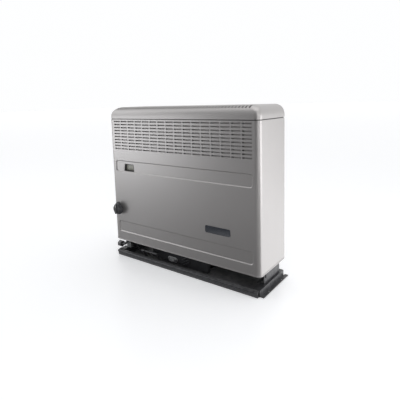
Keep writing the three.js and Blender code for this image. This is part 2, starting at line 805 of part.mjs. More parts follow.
function inspectionCover() {
  const half = coverWidth / 2;
  const tall = coverHeight / 2;
  const shape = roundedRectangle(coverX - half, coverZ - tall, coverX + half, coverZ + tall, tall - 0.1);
  const face = boxFront - seat;
  const plate = extruded(shape, 'y', face - coverSheet, face);
  const long = half - coverDomeInset;
  const high = tall - 2;
  const dome = roundedRectangle(coverX - long, coverZ - high, coverX + long, coverZ + high, high - 0.1);
  const raised = extruded(dome, 'y', face - coverSheet - coverDome, face - 1);
  return cut(join(plate, raised), ...coverScrewSpots.map((place) =>
    screwHole('y', face - coverSheet - 1, face + 1, place)));
}

function airBaffle() {
  const left = boxRight + seat;
  const right = left + baffleWidth;
  const low = traySheet + seat;
  const top = boxTop - 6;
  const panel = block([left, boxFront, low], [right, boxFront + baffleSheet, top]);
  const ends = [left, right - baffleSheet].map((x) =>
    block([x, boxFront, low], [x + baffleSheet, boxFront + baffleReturn, top]));
  const fins = Array.from({ length: finCount }, (_, i) => {
    const x = left + finStart;
    const z = low + 1 + i * finPitch;
    return extruded(outline([
      [x, z], [x + finThick, z], [x + finReach, z + finRise], [x + finReach, z + finRise + finThick],
      [x + finReach - finThick, z + finRise + finThick], [x, z + finThick],
    ]), 'y', boxFront - finProud, boxFront + 0.5);
  });
  return join(panel, ...ends, ...fins);
}

function burnerTube() {
  const axis = [exchangerMid, burnerZ];
  const bore = burnerRadius - burnerWall;
  const body = tube('x', burnerRadius, bore, burnerLeft, burnerLeft + burnerLength, axis, 14);
  const end = bar('x', burnerRadius, burnerLeft + burnerLength - 2, burnerLeft + burnerLength, axis, 14);
  const mouth = tube('x', burnerRadius + 3, bore, burnerLeft - 3, burnerLeft + 3, axis, 14);
  const legs = [0.2, 0.8].map((share) => {
    const x = burnerLeft + share * burnerLength;
    return block([x - legSheet / 2, exchangerMid - 20, plateTop + seat],
      [x + legSheet / 2, exchangerMid + 20, burnerZ - burnerRadius + 0.8]);
  });
  const firstPort = burnerLeft + (burnerLength - (portCount - 1) * portPitch) / 2 + 5;
  const ports = blocks([portWidth, 9, 12], Array.from({ length: portCount }, (_, i) =>
    [firstPort + i * portPitch, exchangerMid, burnerZ + burnerRadius]));
  return cut(join(body, end, mouth, ...legs), ports);
}

function injectorJet() {
  const axis = [exchangerMid, burnerZ];
  const holder = hexBar('x', 12, injectorX - 5, injectorX + 5, axis);
  const nozzle = bar('x', 3, injectorX + 4, burnerLeft - 1, axis, 12);
  const port = bar('z', 4.5, burnerZ - 12, burnerZ - 3, [injectorX, exchangerMid], 12);
  const bore = bar('z', feedPipeRadius + seat, burnerZ - 13, burnerZ - 6, [injectorX, exchangerMid], 12);
  const cone = bar('x', 1, injectorX, burnerLeft + 1, axis, 8);
  return cut(join(holder, nozzle, port), bore, cone);
}

add('burner_plate', burnerPlate(), aluminised());
add('burner_box', burnerBox(), charcoalPaint());
add('inspection_cover', inspectionCover(), castAluminium());
coverScrewSpots.forEach((place, i) => add(`cover_screw_${i + 1}`,
  screw('y', 1, boxFront - seat - coverSheet - seat, place, 7), darkSteel()));
add('air_baffle', airBaffle(), charcoalPaint());
add('burner_tube', burnerTube(), aluminised());
add('injector', injectorJet(), brass());

function airIntake() {
  const place = [intakeX, intakeY];
  const foot = tube('z', intakeRadius + intakeFlange, intakeRadius - intakeWall,
    traySheet + seat, traySheet + seat + 2, place);
  const collar = tube('z', intakeRadius, intakeRadius - intakeWall, traySheet + seat, boxBottom + 12, place);
  return join(foot, collar);
}

add('air_intake_collar', airIntake(), charcoalPaint());

// ---------------------------------------------------------------- gas valve and control knob

const turretFront = valveFront - turretLength;
const bracketBack = valveFront - seat;
const bracketFront = bracketBack - bracketSheet;
const nutFront = bracketFront - seat - nutThickness;
const knobBack = front - knobGap;
const knobFront = knobBack - knobDepth;
const collarFront = front + casingSheet + 3.2;
const collarBack = collarFront + collarThickness;
const plungerFront = collarBack + seat;
const switchAxis = [knobX, knobZ + switchRise];

function gasValve() {
  const valveBack = valveFront + valveDepth;
  const low = knobZ - valveHeight / 2;
  const high = knobZ + valveHeight / 2;
  const body = extruded(
    roundedRectangle(knobX - valveWidth / 2, low, knobX + valveWidth / 2, high, 6),
    'y', valveFront, valveBack);
  const turret = bar('y', turretRadius, turretFront, valveFront + 1, knobAxis, 24);
  const inlet = bar('z', 8, low - 9, low + 1, [knobX, valveFront + 14], 16);
  const outlet = bar('x', 7, knobX + valveWidth / 2 - 1, knobX + valveWidth / 2 + 9,
    [valveFront + 30, knobZ - 8], 16);
  const magnet = bar('y', 11, valveBack - 1, valveBack + 14, [knobX, knobZ + 4], 20);
  const bore = bar('y', sleeveRadius + runningGap, turretFront - 1, valveFront + 26, knobAxis, 24);
  const inletBore = bar('z', gasPipeRadius + seat, low - 10, low - 2, [knobX, valveFront + 14], 14);
  const outletBore = bar('x', feedPipeRadius + seat, knobX + valveWidth / 2 + 2,
    knobX + valveWidth / 2 + 10, [valveFront + 30, knobZ - 8], 14);
  return cut(join(body, turret, inlet, outlet, magnet), bore, inletBore, outletBore);
}

function valveBracket() {
  const head = roundedRectangle(knobX - 16, knobZ - 18, knobX + 16, knobZ + 30, 3);
  const plate = extruded(head, 'y', bracketFront, bracketBack);
  const leg = block(
    [knobX - 11, bracketFront, frameFoot], [knobX - 11 + bracketLeg, bracketBack, knobZ - 15]);
  const foot = block(
    [-railOuter + 0.5, bracketFront, frameFoot],
    [knobX - 11 + bracketLeg, front + frameFront - seat, frameFoot + bracketSheet]);
  const turretHole = bar('y', turretRadius + seat, bracketFront - 1, bracketBack + 1, knobAxis, 24);
  return cut(join(plate, leg, foot), turretHole);
}

function spindleSleeve() {
  const rear = valveFront + 24;
  const frontEnd = turretFront - 1.5;
  const body = bar('y', sleeveRadius, frontEnd, rear, knobAxis, 24);
  const key = spindleHalf + runningGap;
  const square = block([knobX - key, frontEnd - 1, knobZ - key], [knobX + key, rear + 1, knobZ + key]);
  return cut(body, square);
}

function knobSpindle() {
  const rear = valveFront + 12;
  const shaft = block(
    [knobX - spindleHalf, knobBack - 7.4, knobZ - spindleHalf],
    [knobX + spindleHalf, rear, knobZ + spindleHalf]);
  const stop = bar('y', collarRadius, collarFront, collarBack, knobAxis, 28);
  return join(shaft, stop);
}

function controlKnob() {
  const profile = [
    [0, 0], [knobRadius - knobFlare, 0], [knobRadius - 0.6, -1.2], [knobRadius, -2.5],
    [knobRadius - 0.4, -8.5], [knobRadius - 1.6, -11.5], [knobRadius - 4.5, -knobDepth + 0.4], [0, -knobDepth],
  ].map(([r, y]) => new THREE.Vector2(r, y));
  const dial = toSolid(new THREE.LatheGeometry(profile.reverse(), 28)
    .translate(knobX, knobBack, knobZ));
  const reach = knobRadius + noseReach;
  const nose = outline([
    [knobX - 11, knobZ + 12], [knobX - 2.2, knobZ + reach - 0.6], [knobX, knobZ + reach],
    [knobX + 2.2, knobZ + reach - 0.6], [knobX + 11, knobZ + 12],
    [knobX + 6, knobZ + 4], [knobX - 6, knobZ + 4],
  ]);
  const pointer = extruded(nose, 'y', knobFront + 3.5, knobBack - 1);
  const grip = extruded(roundedRectangle(knobX - 3.5, knobZ - 13, knobX + 3.5, knobZ + 15, 3.2),
    'y', knobFront - 3, knobFront + 4);
  const socketSize = spindleHalf + seat;
  const socket = block(
    [knobX - socketSize, knobBack - 8, knobZ - socketSize],
    [knobX + socketSize, knobBack + 1, knobZ + socketSize]);
  return cut(join(dial, pointer, grip), socket);
}

function ignitionSwitch() {
  const faceY = collarBack + knobTravel + 0.8;
  const low = knobZ + turretRadius + 0.6;
  const high = low + 17;
  const body = block([knobX - 6, faceY, low], [knobX + 6, nutFront - 0.5, high]);
  const arm = block([knobX - 6, nutFront - 0.6, low + 6], [knobX + 6, bracketFront - seat, high]);
  const bore = bar('y', plungerRadius + runningGap, faceY - 1, nutFront - 1.3, switchAxis, 16);
  return cut(join(body, arm), bore);
}

function switchPlunger() {
  return bar('y', plungerRadius, plungerFront, plungerFront + plungerLength, switchAxis, 16);
}

add('gas_valve', gasValve(), castAluminium());
add('valve_bracket', valveBracket(), galvanised());
add('gland_nut', cut(hexBar('y', 26, nutFront, bracketFront - seat, knobAxis),
  bar('y', turretRadius + seat, nutFront - 1, bracketFront + 1, knobAxis, 24)), brass());
add('spindle_sleeve', spindleSleeve(), brass());
add('knob_spindle', knobSpindle(), darkSteel());
add('control_knob', controlKnob(), blackPlastic());
add('ignition_switch', ignitionSwitch(), blackPlastic());
add('switch_plunger', switchPlunger(), ceramic());

// ---------------------------------------------------------------- pipes, probe and leads

const valveLow = knobZ - valveHeight / 2;
const valveBack = valveFront + valveDepth;
const inletY = valveFront + 14;
const outletY = valveFront + 30;
const outletZ = knobZ - 8;
const outletX = knobX + valveWidth / 2 + 9;
const unionLeft = -side - unionEnd;

function gasInletPipe() {
  const run = pipe([
    [knobX, inletY, valveLow - 2.5], [knobX, inletY, valveLow - 8], [knobX, inletY, valveLow - 16],
    [knobX + 6, inletY - 3, valveLow - 30],
    [knobX + 14, inletY - 12, valveLow - 44], [knobX + 15, unionY + 5, valveLow - 60],
    [knobX + 8, unionY, valveLow - 78], [knobX - 4, unionY, unionZ + 5], [knobX - 15, unionY, unionZ],
    [knobX - 22, unionY, unionZ], [unionLeft + 3, unionY, unionZ],
  ], gasPipeRadius, 22, 8);
  const ferrule = bar('x', gasPipeRadius + 1.5, unionLeft + 4.5, unionLeft + 7, [unionY, unionZ], 14);
  return join(run, ferrule);
}

function unionNut() {
  const nut = hexBar('x', nutFlats, unionLeft, unionLeft + unionLength, [unionY, unionZ]);
  const way = bar('x', gasPipeRadius + seat, unionLeft - 1, unionLeft + unionLength + 1,
    [unionY, unionZ], 14);
  const thread = bar('x', gasPipeRadius + 2, unionLeft - 1, unionLeft + 7.5, [unionY, unionZ], 14);
  return cut(nut, way, thread);
}

function feedPipe() {
  return pipe([
    [outletX - 6, outletY, outletZ], [outletX - 2, outletY, outletZ], [outletX + 2.5, outletY, outletZ],
    [outletX + 9, outletY, outletZ - 8],
    [outletX + 10, outletY + 2, outletZ - 30], [outletX + 10, exchangerMid - 3, plateBottom - 6],
    [outletX + 14, exchangerMid, plateBottom - 18], [injectorX - 12, exchangerMid, plateBottom - 23],
    [injectorX - 2, exchangerMid, plateBottom - 15], [injectorX, exchangerMid, plateBottom - 3],
    [injectorX, exchangerMid, burnerZ - 6.5],
  ], feedPipeRadius, 24, 8);
}

function thermocouple() {
  const [x, y] = probePlace;
  return pipe([
    [x + 34, exchangerMid - 3, burnerZ + burnerRadius + 4], [x + 16, y + 6, burnerZ + burnerRadius + 2],
    [x + 2, y + 0.5, burnerZ + 2], [x, y, plateTop + 10], [x, y, plateTop - 1], [x, y, plateBottom - 8],
    [x - 10, y + 5, plateBottom - 24], [x - 38, exchangerMid + 10, plateBottom - 26],
    [x - 60, exchangerMid + 22, plateBottom + 6], [knobX + 2, exchangerMid + 30, knobZ - 26],
    [knobX, exchangerMid + 32, knobZ - 6], [knobX, exchangerMid + 25, knobZ + 3],
    [knobX, valveBack + 14 + seat, knobZ + 4],
  ], probeRadius, 34, 6);
}

function ignitionElectrode() {
  const [x, y] = electrodePlace;
  const body = bar('z', electrodeRadius, plateBottom - 16, burnerZ - 2, electrodePlace, 12);
  const shoulder = bar('z', electrodeRadius + 1.2, plateTop + seat, plateTop + 4, electrodePlace, 12);
  const tip = pipe([
    [x, y, burnerZ - 3], [x, y, burnerZ + 6], [x + 8, y - 2, burnerZ + 12],
    [x + 26, exchangerMid + 7, burnerZ + burnerRadius + 3],
  ], 0.9, 10, 6);
  return join(body, shoulder, tip);
}

function ignitionLead() {
  const [x, y] = electrodePlace;
  return pipe([
    [x, y, plateBottom - 16 - seat], [x, y, plateBottom - 26], [x - 12, y + 4, plateBottom - 36],
    [x - 42, y + 14, plateBottom - 20], [x - 66, y + 20, knobZ - 30], [x - 72, y + 16, igniterBottom - 20],
    [x - 72, y + 12, igniterBottom - 8], [x - 72, y + 12, igniterBottom - 2 * seat],
  ], leadRadius, 24, 6);
}

function thermostatBulb() {
  const left = bulbX - bulbLength / 2;
  const bulb = bar('x', bulbRadius, left, left + bulbLength, [bulbY, bulbZ], 14);
  const capillary = pipe([
    [left + 2, bulbY, bulbZ], [left - 14, bulbY, bulbZ + 1], [left - 30, bulbY + 4, bulbZ + 30],
    [left - 34, bulbY + 14, bulbZ + 68], [knobX + 12.5, inletY + 2, valveLow - 10],
    [knobX + 12.5, inletY + 2, valveLow - seat],
  ], capillaryRadius, 22, 4);
  return join(bulb, capillary);
}

const bulbX = -side + bulbInset;
const bulbY = front + bulbSetback;

function bulbBracket() {
  const from = bulbX - bulbLength / 2;
  const to = from + bulbClip;
  const ring = tube('x', bulbRadius + seat + 1.4, bulbRadius + seat, from, to, [bulbY, bulbZ], 16);
  const foot = block([from, bulbY - 4, traySheet + seat], [to, bulbY + 12, traySheet + seat + 1.2]);
  const post = extruded(outline([
    [bulbY + 10.8, traySheet + seat], [bulbY + 12, traySheet + seat],
    [bulbY + 3, bulbZ - 2.4], [bulbY + 3, bulbZ - 4.3],
  ]), 'x', from, to);
  return cut(join(ring, foot, post), bar('x', bulbRadius + seat, from - 1, to + 1, [bulbY, bulbZ], 16));
}

const igniterLeft = -(frameX - frameSheet - seat);

function igniterBox() {
  const right = igniterLeft + igniterWidth;
  const outer = block(
    [igniterLeft, igniterFront, igniterBottom],
    [right, igniterFront + igniterDepth, igniterBottom + igniterHeight]);
  const inner = block(
    [igniterLeft + igniterWall, igniterFront + igniterWall, igniterBottom + igniterWall],
    [right + 1, igniterFront + igniterDepth - igniterWall, igniterBottom + igniterHeight - igniterWall]);
  return cut(outer, inner);
}

function igniterCover() {
  const right = igniterLeft + igniterWidth + seat;
  const plate = block(
    [right, igniterFront, igniterBottom],
    [right + igniterWall, igniterFront + igniterDepth, igniterBottom + igniterHeight]);
  const lipInset = igniterWall + seat;
  const plug = block(
    [right - 4, igniterFront + lipInset, igniterBottom + lipInset],
    [right + 1, igniterFront + igniterDepth - lipInset, igniterBottom + igniterHeight - lipInset]);
  const hollow = block(
    [right - 5, igniterFront + lipInset + 1.5, igniterBottom + lipInset + 1.5],
    [right, igniterFront + igniterDepth - lipInset - 1.5, igniterBottom + igniterHeight - lipInset - 1.5]);
  return cut(join(plate, plug), hollow);
}

add('gas_inlet_pipe', gasInletPipe(), darkSteel());
add('inlet_union_nut', unionNut(), darkSteel());
add('burner_feed_pipe', feedPipe(), copper());
add('thermocouple', thermocouple(), copper());
add('ignition_electrode', ignitionElectrode(), ceramic());
add('igniter_box', igniterBox(), blackPlastic());
add('igniter_cover', igniterCover(), blackPlastic());
add('ignition_lead', ignitionLead(), blackPlastic());
add('thermostat_bulb', thermostatBulb(), darkSteel());
add('bulb_bracket', bulbBracket(), charcoalPaint());

// ---------------------------------------------------------------- what holds the casing

function rightRest() {
  const near = frameX + seat;
  const shelf = floorGap - seat;
  const profile = folded([
    [side - casingSheet - 1, shelf],
    [near, shelf],
    [near, shelf - restDrop],
  ], restSheet);
  return extruded(profile, 'y', -restLength / 2, restLength / 2);
}

function rightClip() {
  const near = frameX + seat;
  const wall = side - casingSheet - seat;
  const profile = folded([
    [near + clipSheet, frameTop - clipFoot], [near + clipSheet, frameTop - clipBend],
    [wall, frameTop - clipKnee - clipLead], [wall, frameTop - clipKnee],
    [near + clipLead, frameTop - clipTop],
  ], clipSheet);
  return extruded(profile, 'y', -clipWidth / 2, clipWidth / 2);
}

add('casing_rest_right', rightRest(), galvanised());
add('casing_rest_left', mirrored(rightRest()), galvanised());
add('casing_clip_right', rightClip(), darkSteel());
add('casing_clip_left', mirrored(rightClip()), darkSteel());

// ---------------------------------------------------------------- casing

// the casing's section seen from above, moved inwards by inset
function casingOutline(inset, rear) {
  const radius = Math.max(cornerRadius - inset, 1);
  const left = -side + inset;
  const right = side - inset;
  const near = front + inset;
  const shape = new THREE.Shape();
  shape.moveTo(right, rear);
  shape.lineTo(left, rear);
  shape.lineTo(left, near + radius);
  shape.absarc(left + radius, near + radius, radius, Math.PI, 1.5 * Math.PI, false);
  shape.lineTo(right - radius, near);
  shape.absarc(right - radius, near + radius, radius, -0.5 * Math.PI, 0, false);
  return shape;
}

const bandLeft = -side + bandInset;
const bandRight = side - bandInset;
const upperBand = floorGap + upperBandRise;
const lowerBand = floorGap + lowerBandRise;
const windowLeft = -side + windowInset;
const windowBottom = upperBand + windowLift;

function windowOutline(grow) {
  const left = windowLeft - grow;
  const right = windowLeft + windowWidth + grow;
  const low = windowBottom - grow;
  const high = windowBottom + windowHeight + grow;
  return outline([[left, low], [right, low], [right - windowSlope / 2, high], [left + windowSlope, high]]);
}

// a tool for a pressed form: the outline at the surface, drawn in by the slope at full depth
function pressTool(shape, surface, depth, arcSegments = 4) {
  const options = {
    depth: 1,
    curveSegments: arcSegments / 2,
    bevelThickness: depth,
    bevelSize: pressSlope,
    bevelOffset: -pressSlope,
    bevelSegments: 1,
  };
  const geometry = new THREE.ExtrudeGeometry(shape, options).applyMatrix4(axes.y);
  return toSolid(geometry.translate(0, surface, 0));
}

function bandOutline(bottom, grow) {
  return roundedRectangle(bandLeft - grow, bottom - grow, bandRight + grow, bottom + bandHeight + grow,
    bandRadius + grow);
}

function frontCasing() {
  const outer = extruded(casingOutline(0, back), 'z', floorGap, casingTop, 6);
  const inner = extruded(casingOutline(casingSheet, back - casingSheet), 'z',
    floorGap + casingSheet, casingTop + 1, 6);
  const inside = casingSheet + hemWidth;
  const below = extruded(casingOutline(inside, back + 1), 'z', floorGap - 1, floorGap + casingSheet + 1, 6);
  const behind = block([-side + inside, back - 5, floorGap - 1], [side - inside, back + 1, casingTop + 1]);
  const bands = [upperBand, lowerBand];
  const pads = bands.map((bottom) =>
    pressTool(bandOutline(bottom, casingSheet / 2), front + casingSheet, pressDepth).intersect(outer));
  const presses = bands.map((bottom) => pressTool(bandOutline(bottom, 0), front, pressDepth));
  const rowSpan = (slotRows - 1) * slotPitchZ;
  const columnSpan = casingWidth - 2 * slotInset - slotLength;
  const slotPitchX = columnSpan / (slotColumns - 1);
  const middles = grid(slotRows, slotColumns).map(([row, column]) =>
    [column * slotPitchX - columnSpan / 2, front, casingTop - firstRowDrop - rowSpan + row * slotPitchZ]);
  const slots = blocks([slotLength, 4 * casingSheet, slotHeight], middles);
  const windowHole = extruded(windowOutline(0), 'y', front - 1, front + 6);
  const knobHole = bar('y', spindleHalf * Math.SQRT2 + 1.5, front - 1, front + 5, knobAxis, 20);
  return cut(join(cut(outer, inner, below, behind), ...pads), ...presses, slots, windowHole, knobHole);
}

function roundedCap(inset, bottom) {
  const fromAbove = extruded(casingOutline(inset, back - inset), 'z', bottom, capTop - inset, 6);
  const crown = crownRadius - inset;
  const sideView = new THREE.Shape();
  sideView.moveTo(front + inset, bottom - 1);
  sideView.lineTo(back, bottom - 1);
  sideView.lineTo(back, capTop - inset);
  sideView.lineTo(front + inset + crown, capTop - inset);
  sideView.absarc(front + inset + crown, capTop - inset - crown, crown, Math.PI / 2, Math.PI, false);
  const shoulder = shoulderRadius - inset;
  const frontView = new THREE.Shape();
  frontView.moveTo(-side + inset, bottom - 1);
  frontView.lineTo(side - inset, bottom - 1);
  frontView.absarc(side - inset - shoulder, capTop - inset - shoulder, shoulder, 0, Math.PI / 2, false);
  frontView.absarc(-side + inset + shoulder, capTop - inset - shoulder, shoulder, Math.PI / 2, Math.PI, false);
  return fromAbove
    .intersect(extruded(sideView, 'x', -side, side, 4))
    .intersect(extruded(frontView, 'y', front, back, 6));
}

function topCap() {
  const shell = cut(roundedCap(0, capBottom), roundedCap(casingSheet, capBottom - 1));
  const ring = (outerInset, innerInset, bottom, top) => cut(
    extruded(casingOutline(outerInset, back - outerInset), 'z', bottom, top),
    extruded(casingOutline(innerInset, back - innerInset), 'z', bottom - 1, top + 1));
  const setback = skirtSetback + skirtSheet;
  const lipFace = casingSheet + seat;
  const lipBottom = casingTop - skirtDrop;
  const ledge = ring(casingSheet - 0.1, setback, capBottom, capBottom + skirtSheet);
  const skirt = ring(skirtSetback, setback, lipBottom, capBottom + skirtSheet);
  const lip = ring(lipFace, setback, lipBottom, lipBottom + skirtLip);
  const columnSpan = casingWidth - 2 * topSlotInset - topSlotWidth;
  const topSlotPitchX = columnSpan / (topSlotColumns - 1);
  const middles = grid(topSlotRows, topSlotColumns).map(([row, column]) =>
    [column * topSlotPitchX - columnSpan / 2, front + topSlotSetback + row * topSlotPitchY, capTop]);
  const slots = blocks([topSlotWidth, topSlotLength, topSlotCut], middles);
  return cut(join(shell, ledge, skirt, lip), slots);
}

add('front_casing', frontCasing(), silverPaint());
add('top_cap', topCap(), silverPaint());

// ---------------------------------------------------------------- window

function windowFrame() {
  const rear = front + casingSheet + pressDepth + windowDepth;
  const flangeFront = front + casingSheet + pressDepth + seat;
  const flange = extruded(windowOutline(3), 'y', flangeFront, flangeFront + frameWall);
  const walls = extruded(windowOutline(-seat), 'y', front + pressDepth, rear);
  const way = extruded(windowOutline(-seat - frameWall), 'y', front, rear + 1);
  return cut(join(flange, walls), way);
}

function sightGlass() {
  const rear = front + casingSheet + pressDepth + windowDepth;
  return extruded(windowOutline(-2 * seat - frameWall), 'y', rear - glassThickness - 1, rear - 1);
}

add('window_frame', windowFrame(), blackPlastic());
add('sight_glass', sightGlass(), glass());

export default heater;
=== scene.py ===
"""Looks for the wall mounted gas heater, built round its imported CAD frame.

The frame's own axes: +X right seen from the front, +Y the wall, +Z up. Meshes, lamps and patterns
are in metres. The named sizes and places of the pieces are in millimetres until a mesh is made.
"""
import json
import math

import bpy
from mathutils import Matrix, Vector

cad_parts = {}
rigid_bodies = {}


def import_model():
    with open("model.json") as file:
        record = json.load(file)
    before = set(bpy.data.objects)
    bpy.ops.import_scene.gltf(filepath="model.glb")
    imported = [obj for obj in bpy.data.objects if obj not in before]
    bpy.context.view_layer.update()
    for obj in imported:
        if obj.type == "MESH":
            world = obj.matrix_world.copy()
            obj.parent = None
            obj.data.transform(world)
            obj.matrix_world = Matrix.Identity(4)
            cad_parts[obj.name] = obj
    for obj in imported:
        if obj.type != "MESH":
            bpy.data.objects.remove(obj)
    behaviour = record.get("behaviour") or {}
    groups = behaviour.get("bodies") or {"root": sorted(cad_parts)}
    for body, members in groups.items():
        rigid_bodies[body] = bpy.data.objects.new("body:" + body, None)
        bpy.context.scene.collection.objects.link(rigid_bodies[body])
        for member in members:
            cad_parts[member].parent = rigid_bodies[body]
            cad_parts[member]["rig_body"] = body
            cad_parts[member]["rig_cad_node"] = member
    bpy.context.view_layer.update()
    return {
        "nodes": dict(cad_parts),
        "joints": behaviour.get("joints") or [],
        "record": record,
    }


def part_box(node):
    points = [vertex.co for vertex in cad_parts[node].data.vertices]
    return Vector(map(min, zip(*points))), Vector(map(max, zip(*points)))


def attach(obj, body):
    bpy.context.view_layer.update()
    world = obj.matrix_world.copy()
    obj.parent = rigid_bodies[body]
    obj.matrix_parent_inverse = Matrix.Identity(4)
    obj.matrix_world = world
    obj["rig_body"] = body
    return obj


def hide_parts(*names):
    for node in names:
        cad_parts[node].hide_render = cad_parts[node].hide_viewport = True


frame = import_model()
nodes = frame["nodes"]

MM = 0.001
SHARP = math.radians(35)  # edges sharper than this are rounded and stay crisp in the shading
PIPE_SHARP = math.radians(60)
SLOTS = {row["node"]: row["material_slot"] for row in frame["record"]["subparts"]}


def corners_of(node):
    """A CAD node's lowest and highest corners, in millimetres to a hundredth."""
    return [[round(value / MM, 2) for value in corner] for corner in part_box(node)]


# ------------------------------------------------------------------ node trees


def put(tree, socket, value):
    """Links another node's socket to this one, or sets it to a plain number or colour."""
    if isinstance(value, bpy.types.NodeSocket):
        tree.links.new(value, socket)
    else:
        socket.default_value = value


def place(tree, kind, **inputs):
    """A node with its inputs, each a number, a colour or another node's socket."""
    node = tree.nodes.new(kind)
    for key, value in inputs.items():
        put(tree, node.inputs[key.replace("_", " ")], value)
    return node


def maths(tree, operation, *values):
    node = tree.nodes.new("ShaderNodeMath")
    node.operation = operation
    for socket, value in zip(node.inputs, values):
        put(tree, socket, value)
    return node.outputs[0]


def mixed(tree, factor, first, second):
    """Two colours mixed by a factor."""
    node = tree.nodes.new("ShaderNodeMix")
    node.data_type = "RGBA"
    put(tree, node.inputs[0], factor)
    put(tree, node.inputs[6], first)
    put(tree, node.inputs[7], second)
    return node.outputs[2]


def ranged(tree, value, from_low, from_high, to_low, to_high):
    """A value carried from one range to another and held at its ends."""
    node = place(tree, "ShaderNodeMapRange", Value=value, From_Min=from_low, From_Max=from_high,
                 To_Min=to_low, To_Max=to_high)
    return node.outputs["Result"]


def own_place(tree):
    return place(tree, "ShaderNodeTexCoord").outputs["Object"]


def split(tree, vector):
    return place(tree, "ShaderNodeSeparateXYZ", Vector=vector).outputs


def noise(tree, scale, detail=2.0, vector=None, roughness=0.5):
    vector = vector or own_place(tree)
    node = place(tree, "ShaderNodeTexNoise", Vector=vector, Scale=scale, Detail=detail, Roughness=roughness)
    return node.outputs["Fac"]


def effect(name, numbers, outputs):
    """A node group with number inputs and float outputs, and its own input and output nodes."""
    tree = bpy.data.node_groups.new(name, "ShaderNodeTree")
    for label, value in numbers.items():
        socket = tree.interface.new_socket(label, in_out="INPUT", socket_type="NodeSocketFloat")
        socket.default_value = value
    for label in outputs:
        tree.interface.new_socket(label, in_out="OUTPUT", socket_type="NodeSocketFloat")
    return tree, tree.nodes.new("NodeGroupInput").outputs, tree.nodes.new("NodeGroupOutput").inputs


def make_patches():
    """Slow changes of tone over a surface: the mask is about 0.5 with soft lows and highs."""
    tree, given, made = effect("slow patches", {"Scale": 8.0, "Contrast": 1.0}, ["Mask"])
    wide = noise(tree, given["Scale"], 3.0)
    centred = maths(tree, "SUBTRACT", wide, 0.5)
    stretched = maths(tree, "MULTIPLY", centred, given["Contrast"])
    put(tree, made["Mask"], maths(tree, "ADD", stretched, 0.5))
    return tree


def make_grain():
    """Fine, even grain such as paint flake, cast skin or moulded plastic."""
    tree, given, made = effect("fine grain", {"Scale": 2000.0, "Mottle": 300.0}, ["Height", "Flake"])
    fine = noise(tree, given["Scale"], 1.0)
    soft = noise(tree, given["Mottle"])
    height = maths(tree, "ADD", maths(tree, "MULTIPLY", fine, 0.4), maths(tree, "MULTIPLY", soft, 0.6))
    put(tree, made["Height"], height)
    put(tree, made["Flake"], fine)
    return tree


def make_wear():
    """Bare or rubbed edges: bright where the surface turns outwards, broken up by noise."""
    tree, given, made = effect("edge wear", {"Amount": 0.5, "Breakup": 60.0}, ["Mask"])
    pointed = place(tree, "ShaderNodeNewGeometry").outputs["Pointiness"]
    ridge = ranged(tree, pointed, 0.52, 0.62, 0.0, 1.0)
    broken = ranged(tree, noise(tree, given["Breakup"], 4.0), 0.42, 0.62, 0.0, 1.0)
    put(tree, made["Mask"], maths(tree, "MULTIPLY", maths(tree, "MULTIPLY", ridge, broken), given["Amount"]))
    return tree


def make_dust():
    """Dust that settles on faces that look up."""
    tree, given, made = effect("settled dust", {"Amount": 0.3, "Scale": 40.0}, ["Mask"])
    upwards = split(tree, place(tree, "ShaderNodeNewGeometry").outputs["Normal"])["Z"]
    flat = ranged(tree, upwards, 0.55, 1.0, 0.0, 1.0)
    clumps = ranged(tree, noise(tree, given["Scale"], 5.0, roughness=0.65), 0.35, 0.75, 0.0, 1.0)
    put(tree, made["Mask"], maths(tree, "MULTIPLY", maths(tree, "MULTIPLY", flat, clumps), given["Amount"]))
    return tree


def make_streaks():
    """Long rolling or drawing lines along X."""
    tree, given, made = effect("rolled lines", {"Scale": 900.0, "Stretch": 0.02}, ["Value"])
    parts = split(tree, own_place(tree))
    along = maths(tree, "MULTIPLY", parts["X"], given["Stretch"])
    lines = place(tree, "ShaderNodeCombineXYZ", X=along, Y=parts["Y"], Z=parts["Z"]).outputs[0]
    put(tree, made["Value"], noise(tree, given["Scale"], 3.0, lines))
    return tree


EFFECTS = {
    "patches": make_patches(),
    "grain": make_grain(),
    "wear": make_wear(),
    "dust": make_dust(),
    "streaks": make_streaks(),
}


def use(tree, effect_name, **numbers):
    """One of the shared effects, with its own numbers, in a material."""
    node = tree.nodes.new("ShaderNodeGroup")
    node.node_tree = EFFECTS[effect_name]
    for key, value in numbers.items():
        put(tree, node.inputs[key], value)
    return node.outputs


# ------------------------------------------------------------------ finishes


def grey(value, blue=0.0):
    return (value, value, value + blue, 1)


def finish(name, **values):
    """A material with one Principled shader, its plain values set on the shader's own sockets."""
    material = bpy.data.materials.new(name)
    material.use_nodes = True
    tree = material.node_tree
    tree.nodes.clear()
    shader = place(tree, "ShaderNodeBsdfPrincipled", **values)
    place(tree, "ShaderNodeOutputMaterial", Surface=shader.outputs[0])
    return material, tree, shader.inputs


def raise_surface(tree, inputs, height, strength, depth=0.2):
    """A bump whose full height is given in millimetres."""
    bump = place(tree, "ShaderNodeBump", Height=height, Strength=strength, Distance=depth * MM)
    put(tree, inputs["Normal"], bump.outputs[0])


